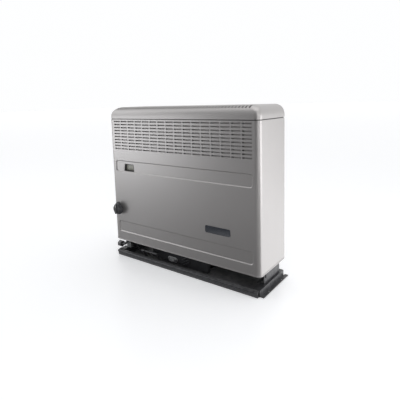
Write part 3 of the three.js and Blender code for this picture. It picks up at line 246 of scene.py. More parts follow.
def silver_paint():
    """Metallic silver: aluminium flake too fine to see, with faint cloudiness from the spray gun."""
    material, tree, inputs = finish("silver_paint", Coat_Weight=0.1, Coat_Roughness=0.3)
    clouds = use(tree, "patches", Scale=6.0, Contrast=0.3)["Mask"]
    grain = use(tree, "grain", Scale=5200.0, Mottle=900.0)
    dust = use(tree, "dust", Amount=0.06, Scale=90.0)["Mask"]
    base = mixed(tree, clouds, (0.4, 0.385, 0.38, 1), (0.43, 0.415, 0.408, 1))
    flaked = mixed(tree, ranged(tree, grain["Flake"], 0.4, 0.7, 0.0, 0.35), base, (0.58, 0.56, 0.555, 1))
    put(tree, inputs["Base Color"], mixed(tree, dust, flaked, (0.5, 0.49, 0.47, 1)))
    put(tree, inputs["Metallic"], ranged(tree, dust, 0.0, 1.0, 0.72, 0.2))
    put(tree, inputs["Roughness"], ranged(tree, grain["Flake"], 0.3, 0.7, 0.34, 0.42))
    raise_surface(tree, inputs, grain["Height"], 0.04)
    return material


def charcoal_paint(name, tone, dust_and_top_light_tone):
    """Satin powder coat: a low orange-peel skin, rubbed at its edges, with settled dust that also paints
    light on faces that look up.
    """
    material, tree, inputs = finish(name, Metallic=0.1)
    patches = use(tree, "patches", Scale=9.0, Contrast=0.6)["Mask"]
    grain = use(tree, "grain", Scale=2600.0, Mottle=620.0)
    wear = use(tree, "wear", Amount=0.45, Breakup=140.0)["Mask"]
    # partly real dust and partly painted light: faces that look up are lightened as if lit from above
    dust = use(tree, "dust", Amount=0.5, Scale=70.0)["Mask"]
    base = mixed(tree, patches, grey(tone, 0.003), grey(tone + 0.008, 0.003))
    worn = mixed(tree, wear, base, grey(0.12, 0.005))
    put(tree, inputs["Base Color"], mixed(tree, dust, worn, grey(dust_and_top_light_tone)))
    put(tree, inputs["Roughness"], ranged(tree, patches, 0.2, 0.8, 0.34, 0.42))
    raise_surface(tree, inputs, grain["Height"], 0.07)
    return material


def galvanised():
    """Zinc spangle: crystals some millimetres across, each with its own tone."""
    material, tree, inputs = finish("galvanised", Metallic=0.85)
    cells = place(tree, "ShaderNodeTexVoronoi", Vector=own_place(tree), Scale=170.0)
    tone = split(tree, cells.outputs["Color"])["X"]
    patches = use(tree, "patches", Scale=12.0, Contrast=1.0)["Mask"]
    dust = use(tree, "dust", Amount=0.2, Scale=50.0)["Mask"]
    base = mixed(tree, tone, (0.36, 0.38, 0.39, 1), (0.52, 0.54, 0.55, 1))
    toned = mixed(tree, maths(tree, "MULTIPLY", patches, 0.35), base, (0.42, 0.41, 0.39, 1))
    put(tree, inputs["Base Color"], mixed(tree, dust, toned, (0.45, 0.43, 0.4, 1)))
    put(tree, inputs["Roughness"], ranged(tree, tone, 0.0, 1.0, 0.34, 0.5))
    raise_surface(tree, inputs, tone, 0.05)
    return material


def aluminised():
    """Aluminised sheet with rolling lines, straw and blue tints low down, where the burner heats it."""
    material, tree, inputs = finish("aluminised_steel", Metallic=0.9)
    lines = use(tree, "streaks", Scale=700.0, Stretch=0.03)["Value"]
    patches = use(tree, "patches", Scale=14.0, Contrast=1.6)["Mask"]
    height = split(tree, own_place(tree))["Z"]
    hot = maths(tree, "MULTIPLY", ranged(tree, height, 0.08, 0.24, 0.85, 0.0), patches)
    hottest = maths(tree, "MULTIPLY", ranged(tree, height, 0.07, 0.11, 0.5, 0.0), patches)
    base = mixed(tree, lines, (0.46, 0.46, 0.44, 1), (0.58, 0.58, 0.56, 1))
    straw = mixed(tree, hot, base, (0.4, 0.29, 0.16, 1))
    put(tree, inputs["Base Color"], mixed(tree, hottest, straw, (0.16, 0.17, 0.24, 1)))
    put(tree, inputs["Roughness"], ranged(tree, lines, 0.3, 0.7, 0.36, 0.52))
    raise_surface(tree, inputs, lines, 0.05)
    return material


def cast_aluminium():
    """A grainy cast skin, brighter where its edges are handled."""
    material, tree, inputs = finish("cast_aluminium", Metallic=0.85)
    grain = use(tree, "grain", Scale=1300.0, Mottle=240.0)
    patches = use(tree, "patches", Scale=30.0, Contrast=1.2)["Mask"]
    wear = use(tree, "wear", Amount=0.6, Breakup=110.0)["Mask"]
    base = mixed(tree, patches, (0.38, 0.385, 0.39, 1), (0.5, 0.505, 0.51, 1))
    put(tree, inputs["Base Color"], mixed(tree, wear, base, grey(0.7, 0.01)))
    put(tree, inputs["Roughness"], ranged(tree, grain["Flake"], 0.3, 0.7, 0.48, 0.62))
    raise_surface(tree, inputs, grain["Height"], 0.35, depth=0.4)
    return material


def turned_metal(name, dark, light, rough, oxide, amount):
    """Brass or copper: fine turning lines and patches of oxide."""
    material, tree, inputs = finish(name, Metallic=0.95)
    grain = use(tree, "grain", Scale=1800.0, Mottle=160.0)
    patches = use(tree, "patches", Scale=55.0, Contrast=1.8)["Mask"]
    base = mixed(tree, grain["Flake"], dark, light)
    tarnish = maths(tree, "MULTIPLY", ranged(tree, patches, 0.4, 0.9, 0.0, 1.0), amount)
    put(tree, inputs["Base Color"], mixed(tree, tarnish, base, oxide))
    put(tree, inputs["Roughness"], ranged(tree, patches, 0.2, 0.8, rough, rough + 0.16))
    raise_surface(tree, inputs, grain["Height"], 0.05)
    return material


def dark_steel():
    """Blackened steel of screws, pipes and clips, bright where its edges are rubbed."""
    material, tree, inputs = finish("dark_steel", Metallic=0.8)
    grain = use(tree, "grain", Scale=2200.0, Mottle=300.0)
    wear = use(tree, "wear", Amount=0.9, Breakup=200.0)["Mask"]
    base = mixed(tree, grain["Flake"], grey(0.07, 0.005), grey(0.14, 0.005))
    put(tree, inputs["Base Color"], mixed(tree, wear, base, grey(0.5)))
    put(tree, inputs["Roughness"], ranged(tree, grain["Flake"], 0.3, 0.7, 0.34, 0.5))
    raise_surface(tree, inputs, grain["Height"], 0.1)
    return material


def moulded(name, dark, light, smooth, rough, bump):
    """Moulded plastic, rubber sheath or pressed fibre: its grain, and edges rubbed to a paler tone."""
    material, tree, inputs = finish(name)
    grain = use(tree, "grain", Scale=2400.0, Mottle=700.0)
    patches = use(tree, "patches", Scale=40.0, Contrast=1.2)["Mask"]
    wear = use(tree, "wear", Amount=0.35, Breakup=180.0)["Mask"]
    rubbed = tuple(min(1.0, part * 3 + 0.02) for part in light[:3]) + (1,)
    put(tree, inputs["Base Color"], mixed(tree, wear, mixed(tree, patches, dark, light), rubbed))
    put(tree, inputs["Roughness"], ranged(tree, grain["Flake"], 0.3, 0.7, smooth, rough))
    raise_surface(tree, inputs, grain["Height"], bump, depth=0.3)
    return material


def white_ceramic():
    """Glazed ceramic of the electrode and the plunger."""
    material, tree, inputs = finish("white_ceramic", Coat_Weight=0.6, Coat_Roughness=0.06)
    patches = use(tree, "patches", Scale=60.0, Contrast=1.2)["Mask"]
    put(tree, inputs["Base Color"], mixed(tree, patches, (0.62, 0.6, 0.54, 1), (0.76, 0.74, 0.68, 1)))
    put(tree, inputs["Roughness"], ranged(tree, patches, 0.2, 0.8, 0.2, 0.34))
    return material


def heat_glass():
    """The sight glass: slightly smoked, and darker towards the bottom."""
    material, tree, inputs = finish("sight_glass", Transmission_Weight=0.35, IOR=1.5, Metallic=0.0)
    patches = use(tree, "patches", Scale=90.0, Contrast=1.6)["Mask"]
    darkening_downwards = ranged(tree, split(tree, own_place(tree))["Z"], 0.256, 0.266, 1.0, 0.0)
    base = mixed(tree, patches, (0.42, 0.42, 0.35, 1), (0.52, 0.52, 0.45, 1))
    put(tree, inputs["Base Color"], mixed(tree, darkening_downwards, base, (0.1, 0.1, 0.09, 1)))
    put(tree, inputs["Roughness"], ranged(tree, patches, 0.2, 0.8, 0.08, 0.2))
    return material


FINISHES = {
    "silver_paint": silver_paint(),
    "charcoal_paint": charcoal_paint("charcoal_paint", tone=0.024, dust_and_top_light_tone=0.095),
    # a lighter copy of the charcoal paint for the tray: its paler tone and dust are painted light on the tray
    # floor
    "tray_paint_painted_light": charcoal_paint("tray_paint_painted_light", tone=0.06, dust_and_top_light_tone=0.22),
    "galvanised": galvanised(),
    "aluminised_steel": aluminised(),
    "dark_steel": dark_steel(),
    "cast_aluminium": cast_aluminium(),
    "brass": turned_metal("brass", (0.5, 0.34, 0.12, 1), (0.62, 0.44, 0.18, 1), rough=0.26,
                          oxide=(0.2, 0.13, 0.06, 1), amount=0.55),
    "copper": turned_metal("copper", (0.55, 0.25, 0.13, 1), (0.66, 0.33, 0.19, 1), rough=0.3,
                           oxide=(0.19, 0.09, 0.06, 1), amount=0.75),
    "black_plastic": moulded("black_plastic", grey(0.012, 0.002), grey(0.024, 0.002), 0.36, 0.5, bump=0.2),
    "knob_plastic": moulded("knob_plastic", grey(0.035, 0.003), grey(0.05, 0.003), 0.36, 0.5, bump=0.2),
    "white_ceramic": white_ceramic(),
    "lead_rubber": moulded("lead_rubber", grey(0.012), grey(0.022), 0.5, 0.64, bump=0.1),
    "fibre_gasket": moulded("fibre_gasket", (0.1, 0.09, 0.08, 1), (0.16, 0.145, 0.13, 1), 0.85, 0.98,
                            bump=0.6),
    "sight_glass": heat_glass(),
    "window_grey": moulded("window_grey", grey(0.05, -0.002), grey(0.07, -0.004), 0.4, 0.55, bump=0.15),
    "badge_slate": moulded("badge_slate", (0.03, 0.033, 0.04, 1), (0.042, 0.046, 0.055, 1), 0.22, 0.34,
                           bump=0.06),
    "mark_white": moulded("mark_white", grey(0.5, -0.02), grey(0.58, -0.02), 0.4, 0.55, bump=0.1),
}
# pieces whose look differs from that of their material slot
LOOKS = {
    "window_frame_finished": "window_grey",
    "badge_plate": "badge_slate",
    "knob_mark": "mark_white",
    # the bulb's dark charcoal paint is painted shade, standing in for the shade that it would sit in
    "thermostat_bulb_finished": "charcoal_paint",
    # the tray's lighter paint is painted light on its floor
    "base_tray_finished": "tray_paint_painted_light",
    "control_knob_finished": "knob_plastic",
    "casing_rest_right_finished": "charcoal_paint",
    "casing_rest_left_finished": "charcoal_paint",
}


# ------------------------------------------------------------------ making pieces


def select_only(piece):
    bpy.ops.object.select_all(action="DESELECT")
    piece.select_set(True)
    bpy.context.view_layer.objects.active = piece


def edit(piece, selected="SELECT"):
    """Edit mode on one piece, with all or none of it selected."""
    select_only(piece)
    bpy.ops.object.mode_set(mode="EDIT")
    bpy.ops.mesh.select_all(action=selected)


def done():
    bpy.ops.object.mode_set(mode="OBJECT")


def edit_faces(piece, wanted):
    """Edit mode with only those faces selected whose normal is wanted."""
    edit(piece, "DESELECT")
    done()
    for face in piece.data.polygons:
        face.select = wanted(face.normal)
    select_only(piece)
    bpy.ops.object.mode_set(mode="EDIT")
    bpy.ops.mesh.select_mode(type="FACE")


def settle(piece):
    """Puts a piece's place into its mesh, so that its object sits at the origin."""
    select_only(piece)
    bpy.ops.object.transform_apply(location=True, rotation=True, scale=True)


def modify(piece, kind, **settings):
    select_only(piece)
    modifier = piece.modifiers.new(kind.title(), kind)
    for key, value in settings.items():
        setattr(modifier, key, value)
    bpy.ops.object.modifier_apply(modifier=modifier.name)


def round_edges(piece, radius, steps=2):
    """Rounds a piece's sharp edges by a radius in millimetres."""
    modify(piece, "BEVEL", width=radius * MM, segments=steps, limit_method="ANGLE", angle_limit=SHARP,
           use_clamp_overlap=True)


def repeat(piece, count, step):
    """A row of copies of a piece, a step in millimetres apart."""
    modify(piece, "ARRAY", count=count, use_relative_offset=False, use_constant_offset=True,
           constant_offset_displace=[value * MM for value in step])


def carve(piece, cutter, operation="DIFFERENCE"):
    """Cuts a cutter out of a piece, or joins it on, and uses it up."""
    modify(piece, "BOOLEAN", object=cutter, operation=operation, solver="EXACT")
    bpy.data.objects.remove(cutter)


def shade(piece, angle=SHARP):
    select_only(piece)
    bpy.ops.object.shade_smooth_by_angle(angle=angle)


def flatten_shading(piece):
    """Weighs the normals by the size of the faces, so that flat sheet stays flat beside its edges."""
    modify(piece, "WEIGHTED_NORMAL", keep_sharp=True)


def body_named(node):
    return nodes[node]["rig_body"]


def own(piece, slot, body):
    """Gives a finished piece its material and its body."""
    piece.data.materials.clear()
    piece.data.materials.append(FINISHES[LOOKS.get(piece.name, slot)])
    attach(piece, body)


def stand_for(piece, node):
    """Lets a finished piece take the place, the slot and the body of a CAD node."""
    own(piece, SLOTS[node], body_named(node))
    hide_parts(node)


def copy_of(node):
    """A loose copy of a CAD node's mesh with its doubled corners merged and its flat faces joined."""
    select_only(nodes[node])
    bpy.ops.object.duplicate()
    piece = bpy.context.active_object
    piece.name = node + "_finished"
    piece.parent = None
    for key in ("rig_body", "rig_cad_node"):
        del piece[key]
    edit(piece)
    bpy.ops.mesh.remove_doubles(threshold=0.001 * MM)
    bpy.ops.mesh.dissolve_limited(angle_limit=math.radians(0.5))
    done()
    return piece


def soften(node, radius):
    """The CAD node's own shape with its sharp edges rounded, standing for it."""
    piece = copy_of(node)
    round_edges(piece, radius)
    shade(piece)
    flatten_shading(piece)
    stand_for(piece, node)


def smooth_pipe(node):
    """The CAD node's own tube, smooth along its bends, standing for it."""
    piece = copy_of(node)
    shade(piece, PIPE_SHARP)
    stand_for(piece, node)


# sheet metal, castings and turned pieces, with the radius of their edges in millimetres
EDGES = {
    "front_casing": 0.35, "window_frame": 0.3, "base_tray": 0.3,
    "mounting_rail_right": 0.3, "mounting_rail_left": 0.3, "side_frame_right": 0.25, "side_frame_left": 0.25,
    "rear_panel": 0.25, "wall_bracket_right": 0.3, "wall_bracket_left": 0.3, "exchanger_front_shell": 0.3,
    "exchanger_rear_shell": 0.3, "exchanger_bracket_right": 0.3, "exchanger_bracket_left": 0.3,
    "flue_gasket": 0.3, "flue_spigot": 0.4, "burner_plate": 0.3, "burner_box": 0.3, "inspection_cover": 0.6,
    "air_baffle": 0.25, "burner_tube": 0.25, "injector": 0.3, "air_intake_collar": 0.3, "gas_valve": 0.8,
    "valve_bracket": 0.3, "gland_nut": 0.4, "spindle_sleeve": 0.3, "knob_spindle": 0.25,
    "ignition_switch": 0.5, "switch_plunger": 0.3, "inlet_union_nut": 0.5, "igniter_box": 0.6,
    "igniter_cover": 0.6, "bulb_bracket": 0.2, "casing_rest_right": 0.25, "casing_rest_left": 0.25,
    "casing_clip_right": 0.2, "casing_clip_left": 0.2, "sight_glass": 0.3, "control_knob": 0.7,
}
PIPES = ["gas_inlet_pipe", "burner_feed_pipe", "thermocouple", "ignition_electrode", "ignition_lead",
         "thermostat_bulb"]

for node, radius in EDGES.items():
    soften(node, radius)
for node in PIPES:
    smooth_pipe(node)


# ------------------------------------------------------------------ new meshes


def outlined(name, points, closed=False):
    """A line of points, in millimetres, as a new piece without faces."""
    mesh = bpy.data.meshes.new(name)
    links = [(i, i + 1) for i in range(len(points) - 1)] + ([(len(points) - 1, 0)] if closed else [])
    mesh.from_pydata([Vector(point) * MM for point in points], links, [])
    piece = bpy.data.objects.new(name, mesh)
    bpy.context.scene.collection.objects.link(piece)
    return piece


def turned(name, profile):
    """A profile of (radius, height) points turned round Z."""
    piece = outlined(name, [(radius, 0, height) for radius, height in profile])
    edit(piece)
    bpy.ops.mesh.spin(steps=24, angle=2 * math.pi, center=(0, 0, 0), axis=(0, 0, 1))
    bpy.ops.mesh.select_all(action="SELECT")
    bpy.ops.mesh.remove_doubles(threshold=0.002 * MM)
    bpy.ops.mesh.normals_make_consistent(inside=False)
    done()
    return piece


def bar(name, low, high):
    """A block between two corners given in millimetres."""
    bpy.ops.object.select_all(action="DESELECT")
    low, high = Vector(low) * MM, Vector(high) * MM
    bpy.ops.mesh.primitive_cube_add(size=1, location=(low + high) / 2, scale=high - low)
    piece = bpy.context.active_object
    piece.name = name
    settle(piece)
    return piece


# ------------------------------------------------------------------ screws

SCREW_HEAD = [(0, 2.15), (1.6, 2.1), (2.9, 1.65), (3.6, 0.8), (3.75, 0.12), (3.62, 0.0), (1.75, 0.0)]
HEAD_HEIGHT = 2.2  # from the seat to the top of the box that the CAD screw fills
THREAD_CORE, THREAD_CREST, THREAD_PITCH = 1.5, 1.88, 0.8
THREAD_START, TIP_LENGTH = 0.5, 1.4
TIP_WIDE, TIP_NARROW = 1.4, 0.5  # radii
RECESS_REACH, RECESS_SIDE, RECESS_FLOOR = 2.0, 0.42, 0.9
SCREW_TURN = 17  # degrees for each letter of its name, so that the recesses don't all point alike


def pan_screw(length):
    """A pan-head screw with a cross recess and a thread, head up, its seat at the origin."""
    profile = list(SCREW_HEAD)
    depth = THREAD_START
    while depth < length - TIP_LENGTH:
        profile += [(THREAD_CORE, -depth), (THREAD_CREST, -depth - THREAD_PITCH / 2)]
        depth += THREAD_PITCH
    profile += [(TIP_WIDE, -depth), (TIP_NARROW, 0.1 - length), (0, -length)]
    piece = turned("screw", profile)
    for reach, side in ((RECESS_REACH, RECESS_SIDE), (RECESS_SIDE, RECESS_REACH)):
        carve(piece, bar("recess", (-reach, -side, RECESS_FLOOR), (reach, side, 3)))
    shade(piece)
    return piece


def screw_for(node, masters):
    """A copy of the screw of the node's length, turned along the node's axis and set on its seat."""
    low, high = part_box(node)
    size = high - low
    head_width = sorted(size)[1]  # two of the three sizes are the head's width, so the middle one is
    axis = max(range(3), key=lambda i: abs(size[i] - head_width))
    length = round((size[axis] / MM - HEAD_HEIGHT) * 2) / 2
    if length not in masters:
        masters[length] = pan_screw(length)
    piece = masters[length].copy()
    piece.data = piece.data.copy()
    piece.name = node + "_finished"
    bpy.context.scene.collection.objects.link(piece)
    seat = (low + high) / 2
    head_at_high_end = axis == 2 or not node.startswith("cover")
    seat[axis] = high[axis] - HEAD_HEIGHT * MM if head_at_high_end else low[axis] + HEAD_HEIGHT * MM
    spin = Matrix.Rotation(math.radians(SCREW_TURN * len(node) % 90), 4, "Z")
    tilt = Matrix.Rotation(math.radians(0 if axis == 2 else -90 if head_at_high_end else 90), 4, "X")
    piece.data.transform(Matrix.Translation(seat) @ tilt @ spin)
    stand_for(piece, node)


screw_masters = {}
for node in [node for node in nodes if "_screw_" in node]:
    screw_for(node, screw_masters)
for master in screw_masters.values():
    bpy.data.objects.remove(master)


# ------------------------------------------------------------------ the casing's outline

(_, FRONT, CASING_FOOT), (SIDE, BACK, CASING_TOP) = corners_of("front_casing")
(_, _, SKIRT_BOTTOM), (_, _, CAP_TOP) = corners_of("top_cap")
SHEET = 1.5  # the metal of the casing and the cap
CORNER_RADIUS, DOME_RADIUS = 12, 24
ROUND_STEPS = 8


def bevel_where(piece, wanted, radius, steps):
    """Rounds the edges for which wanted(start, end) holds; the two ends are in millimetres."""
    mesh = piece.data
    weights = mesh.attributes.new("bevel_weight_edge", "FLOAT", "EDGE").data
    for edge, weight in zip(mesh.edges, weights):
        start, end = (mesh.vertices[corner].co / MM for corner in edge.vertices)
        weight.value = float(wanted(start, end))
    modify(piece, "BEVEL", width=radius * MM, segments=steps, limit_method="WEIGHT", use_clamp_overlap=False)
    piece.data.attributes.remove(piece.data.attributes["bevel_weight_edge"])


def outline_block(name, inset, low, high, domed=False):
    """A block with the casing's outline, inset all round; domed, its crown and shoulders run together.

    The dome rounds the top edges at the front and at both sides, and then the edges that lie on the
    mitre of a front corner are rounded in plan.
    """
    def under_dome(start, end):
        runs_back = abs(start.x - end.x) < 0.01 and abs(start.y - end.y) > 1
        return min(start.z, end.z) > high - 0.01 and (runs_back or max(start.y, end.y) < 0)

    def on_corner(start, end):
        mitred = all(abs(SIDE - abs(point.x) - point.y + FRONT) < 0.02 for point in (start, end))
        return mitred and start.x * end.x > 0

    piece = bar(name, (inset - SIDE, FRONT + inset, low), (SIDE - inset, BACK - inset, high))
    if domed:
        bevel_where(piece, under_dome, DOME_RADIUS - inset, ROUND_STEPS)
    bevel_where(piece, on_corner, CORNER_RADIUS - inset, ROUND_STEPS)
    return piece


def outline_ring(name, outer, inner, low, high):
    """A ring that follows the casing's outline, between two insets."""
    piece = outline_block(name, outer, low, high)
    carve(piece, outline_block("inside", inner, low - 1, high + 1))
    return piece


# ------------------------------------------------------------------ louvres

SLOT_COLUMNS, SLOT_ROWS = 16, 10
SLOT_LENGTH, SLOT_HEIGHT = 24.4, 3.2
SLOT_STEP_X, SLOT_STEP_Z = 27.907, 8.53
SLOT_LEFT, SLOT_MIDDLE = -221.5, 397.9  # the first slot's left end and the top row's height
TONGUE_LEFT, TONGUE_RIGHT = 4.2, 0.3  # from the slot's ends to the tongue's


def louvres():
    """The tongues pressed inwards from the slots, each rooted on its slot's lower edge."""
    root = SLOT_MIDDLE - SLOT_HEIGHT / 2
    left, right = SLOT_LEFT + TONGUE_LEFT, SLOT_LEFT + SLOT_LENGTH - TONGUE_RIGHT
    inside = FRONT + SHEET
    section = [(inside + 0.02, root - 1.0), (inside + 0.7, root - 0.8), (inside + 1.1, root - 0.2),
               (inside + 2.4, root + 3.3), (inside + 1.9, root + 3.5), (inside + 0.6, root + 0.1),
               (inside + 0.02, root - 0.05)]
    piece = outlined("slot_louvres", [(left, y, z) for y, z in section], closed=True)
    edit(piece)
    bpy.ops.mesh.edge_face_add()
    bpy.ops.mesh.extrude_region_move(TRANSFORM_OT_translate={"value": ((right - left) * MM, 0, 0)})
    bpy.ops.mesh.select_all(action="SELECT")
    bpy.ops.mesh.normals_make_consistent(inside=False)
    done()
    round_edges(piece, radius=0.12, steps=1)
    repeat(piece, SLOT_COLUMNS, (SLOT_STEP_X, 0, 0))
    repeat(piece, SLOT_ROWS, (0, 0, -SLOT_STEP_Z))
    shade(piece)
    own(piece, "silver_paint", "heater")


louvres()


# ------------------------------------------------------------------ cap, the dark strip in its seam and the hems

# the strip in the seam's groove is black as painted shade for the seam
SEAM_GROOVE, SHADE_STRIP_INSET, SHADE_STRIP_GAP = 2, 1.6, 0.2
CAP_BOTTOM = CASING_TOP + SEAM_GROOVE
SKIRT_INSET, SKIRT_SHEET = 4.5, 1.2
SKIRT_INSIDE = SKIRT_INSET + SKIRT_SHEET
TOP_SLOTS, TOP_SLOT_STEP, TOP_SLOT_ROW_STEP = 48, 9, 80
TOP_SLOT_WIDTH, TOP_SLOT_FRONT, TOP_SLOT_REAR = 4, -57, -23
CUT_REACH = 9  # how far a cutter reaches past the sheet that it cuts
CASING_HEM_OUT, CASING_HEM_HEIGHT = 0.8, 2.6
HEM_STOP = 2  # the casing's hem ends this far before the open back
TRAY_HEM_OUT, TRAY_HEM_HEIGHT, TRAY_HEM_DROP = 3.4, 7, 0.4
TRAY_HEM_RADIUS = 3.3


def slotted_cap():
    """The pressed cap with rounded corners, its skirt in the casing and two rows of slots in its top."""
    skirt_top = CAP_BOTTOM + SKIRT_SHEET
    piece = outline_block("top_cap_finished", 0, CAP_BOTTOM, CAP_TOP, domed=True)
    carve(piece, outline_block("hollow", SHEET, CAP_BOTTOM - 1, CAP_TOP - SHEET, domed=True))
    carve(piece, outline_ring("ledge", SHEET - 0.1, SKIRT_INSIDE, CAP_BOTTOM, skirt_top), "UNION")
    carve(piece, outline_ring("skirt", SKIRT_INSET, SKIRT_INSIDE, SKIRT_BOTTOM, skirt_top), "UNION")
    first = -TOP_SLOT_STEP * (TOP_SLOTS - 1) / 2
    low = (first - TOP_SLOT_WIDTH / 2, TOP_SLOT_FRONT, CAP_TOP - CUT_REACH)
    high = (first + TOP_SLOT_WIDTH / 2, TOP_SLOT_REAR, CAP_TOP + CUT_REACH)
    cutter = bar("slots", low, high)
    repeat(cutter, TOP_SLOTS, (TOP_SLOT_STEP, 0, 0))
    repeat(cutter, 2, (0, TOP_SLOT_ROW_STEP, 0))
    carve(piece, cutter)
    round_edges(piece, radius=0.3)
    shade(piece)
    flatten_shading(piece)
    stand_for(piece, "top_cap")


def seam_shade_strip():
    """A black strip in the groove between the cap and the casing: its black is painted shade for the seam."""
    piece = outline_ring("seam_shade_strip", SHADE_STRIP_INSET, SKIRT_INSET, CASING_TOP + SHADE_STRIP_GAP, CAP_BOTTOM)
    round_edges(piece, radius=0.3)
    shade(piece)
    own(piece, "lead_rubber", body_named("top_cap"))


def casing_hem():
    """The rolled edge along the foot of the casing's front and sides."""
    piece = outline_ring("casing_hem", -CASING_HEM_OUT, 0, CASING_FOOT, CASING_FOOT + CASING_HEM_HEIGHT)
    low = (-SIDE - CUT_REACH, BACK - HEM_STOP, CASING_FOOT - CUT_REACH)
    high = (SIDE + CUT_REACH, BACK + CUT_REACH, CASING_FOOT + CUT_REACH)
    carve(piece, bar("behind", low, high))
    round_edges(piece, radius=0.75, steps=3)
    shade(piece)
    own(piece, "silver_paint", body_named("front_casing"))


def tray_hem():
    """The rolled edge along the front of the tray."""
    (left, front, _), (right, _, top) = corners_of("base_tray")

    def runs_ahead(start, end):
        return max(start.y, end.y) < front - 1 and abs(start.x - end.x) > 1

    high = top - TRAY_HEM_DROP
    piece = bar("tray_hem", (left, front - TRAY_HEM_OUT, high - TRAY_HEM_HEIGHT), (right, front, high))
    bevel_where(piece, runs_ahead, TRAY_HEM_RADIUS, 5)
    shade(piece)
    own(piece, "charcoal_paint", body_named("base_tray"))


# ------------------------------------------------------------------ badge and knob

BADGE_LEFT, BADGE_RIGHT, BADGE_BOTTOM, BADGE_TOP = 90.6, 162.5, 130.6, 148.6
BADGE_SHEET, BADGE_CORNER = 1.1, 4
BADGE_RIM, BADGE_SUNK = 1.1, 0.45
KNOB_AXIS = next(joint["pos_m"] for joint in frame["joints"] if joint["name"] == "knob_turn")
KNOB_X, _, KNOB_Z = (round(value / MM, 2) for value in KNOB_AXIS)
(KNOB_LEFT, GRIP_FACE, _), (_, _, KNOB_TOP) = corners_of("control_knob")
KNOB_RADIUS, KNOB_TIP = KNOB_X - KNOB_LEFT, KNOB_TOP - KNOB_Z
TIP_BLUNT = 0.9  # how far the flats stay outside the line from the tip to the shoulder
MARK_WIDTH, MARK_FROM, MARK_TO = 2.2, 5, 12.5  # the mark's ends are measured from the knob's axis
MARK_DEPTH, MARK_SUNK = 0.6, 0.1


def badge_plate():
    """A bare dark plate with a raised rim."""
    low, high = (BADGE_LEFT, FRONT - BADGE_SHEET, BADGE_BOTTOM), (BADGE_RIGHT, FRONT, BADGE_TOP)
    piece = bar("badge_plate", low, high)
    bevel_where(piece, lambda start, end: abs(start.y - end.y) > 0.5, BADGE_CORNER, 5)
    edit_faces(piece, lambda normal: normal.y < -0.9)
    bpy.ops.mesh.inset(thickness=BADGE_RIM * MM, depth=-BADGE_SUNK * MM)
    done()
    round_edges(piece, radius=0.18)
    shade(piece)
    own(piece, "black_plastic", "heater")


def pointed_knob():
    """Flats from the knob's tip down to its shoulders, so that it reads as a drop with its point up."""
    knob = bpy.data.objects["control_knob_finished"]
    for side in (-1, 1):
        outwards = Vector((KNOB_TIP * side, 0, KNOB_RADIUS)).normalized()
        cutter = bar("flat", (0, -30, -60), (40, 30, 60))  # larger than the knob, its left face the flat
        turn = Matrix.Rotation(-math.atan2(outwards.z, outwards.x), 4, "Y")
        seat = Vector((KNOB_X, GRIP_FACE, KNOB_Z + KNOB_TIP)) + outwards * TIP_BLUNT
        cutter.data.transform(Matrix.Translation(seat * MM) @ turn)
        carve(knob, cutter)
    round_edges(knob, radius=0.7, steps=3)
    shade(knob)
    flatten_shading(knob)


def knob_mark():
    """A light mark let into the knob's grip, at the end that points."""
    knob = bpy.data.objects["control_knob_finished"]
    left, right = KNOB_X - MARK_WIDTH / 2, KNOB_X + MARK_WIDTH / 2
    low, high = KNOB_Z + MARK_FROM, KNOB_Z + MARK_TO
    carve(knob, bar("groove", (left, GRIP_FACE - 1, low), (right, GRIP_FACE + MARK_DEPTH, high)))
    piece = bar("knob_mark", (left, GRIP_FACE + MARK_SUNK, low), (right, GRIP_FACE + MARK_DEPTH, high))
    round_edges(piece, radius=0.15)
    shade(piece)
    own(piece, "black_plastic", body_named("control_knob"))


slotted_cap()
seam_shade_strip()
casing_hem()
tray_hem()
badge_plate()
pointed_knob()
knob_mark()


# ------------------------------------------------------------------ stage, lamps and camera, in metres

PAINTED_SHADE_X, PAINTED_SHADE_Y = 0.23, 0.062  # half the patch of floor under the tray, painted dark and never glowing: painted shade
AHEAD_DARK, AHEAD_LIT = -0.075, -0.062  # in gloss the floor fades out between these, towards the front: a painted dark reflection on the casing's front
# the floor glows evenly to the camera and in gloss; the third glow is a painted highlight, seen in gloss on
# the casing's side
CAMERA_GLOW, GLOSS_GLOW, RIGHT_PAINTED_HIGHLIGHT = 0.29, 0.42, 0.5
RIGHT_NEAR, RIGHT_FAR = 0.3, 0.9  # the painted highlight at the right fades outwards between these
RIGHT_FRONT, RIGHT_REAR = -0.06, 0.02  # and it comes up between these, towards the wall

# the picture's size, the lens and the row that its axis meets, in the picture's pixels
FRAME_SIZE, FOCAL_LENGTH, CENTRE_ROW = 400, 375.3, 150
SENSOR = 36
CAMERA_PLACE = (0.6124, -0.7817, 0.45)
YAW, PITCH, ROLL = 0.6378, 0.1308, -0.0283


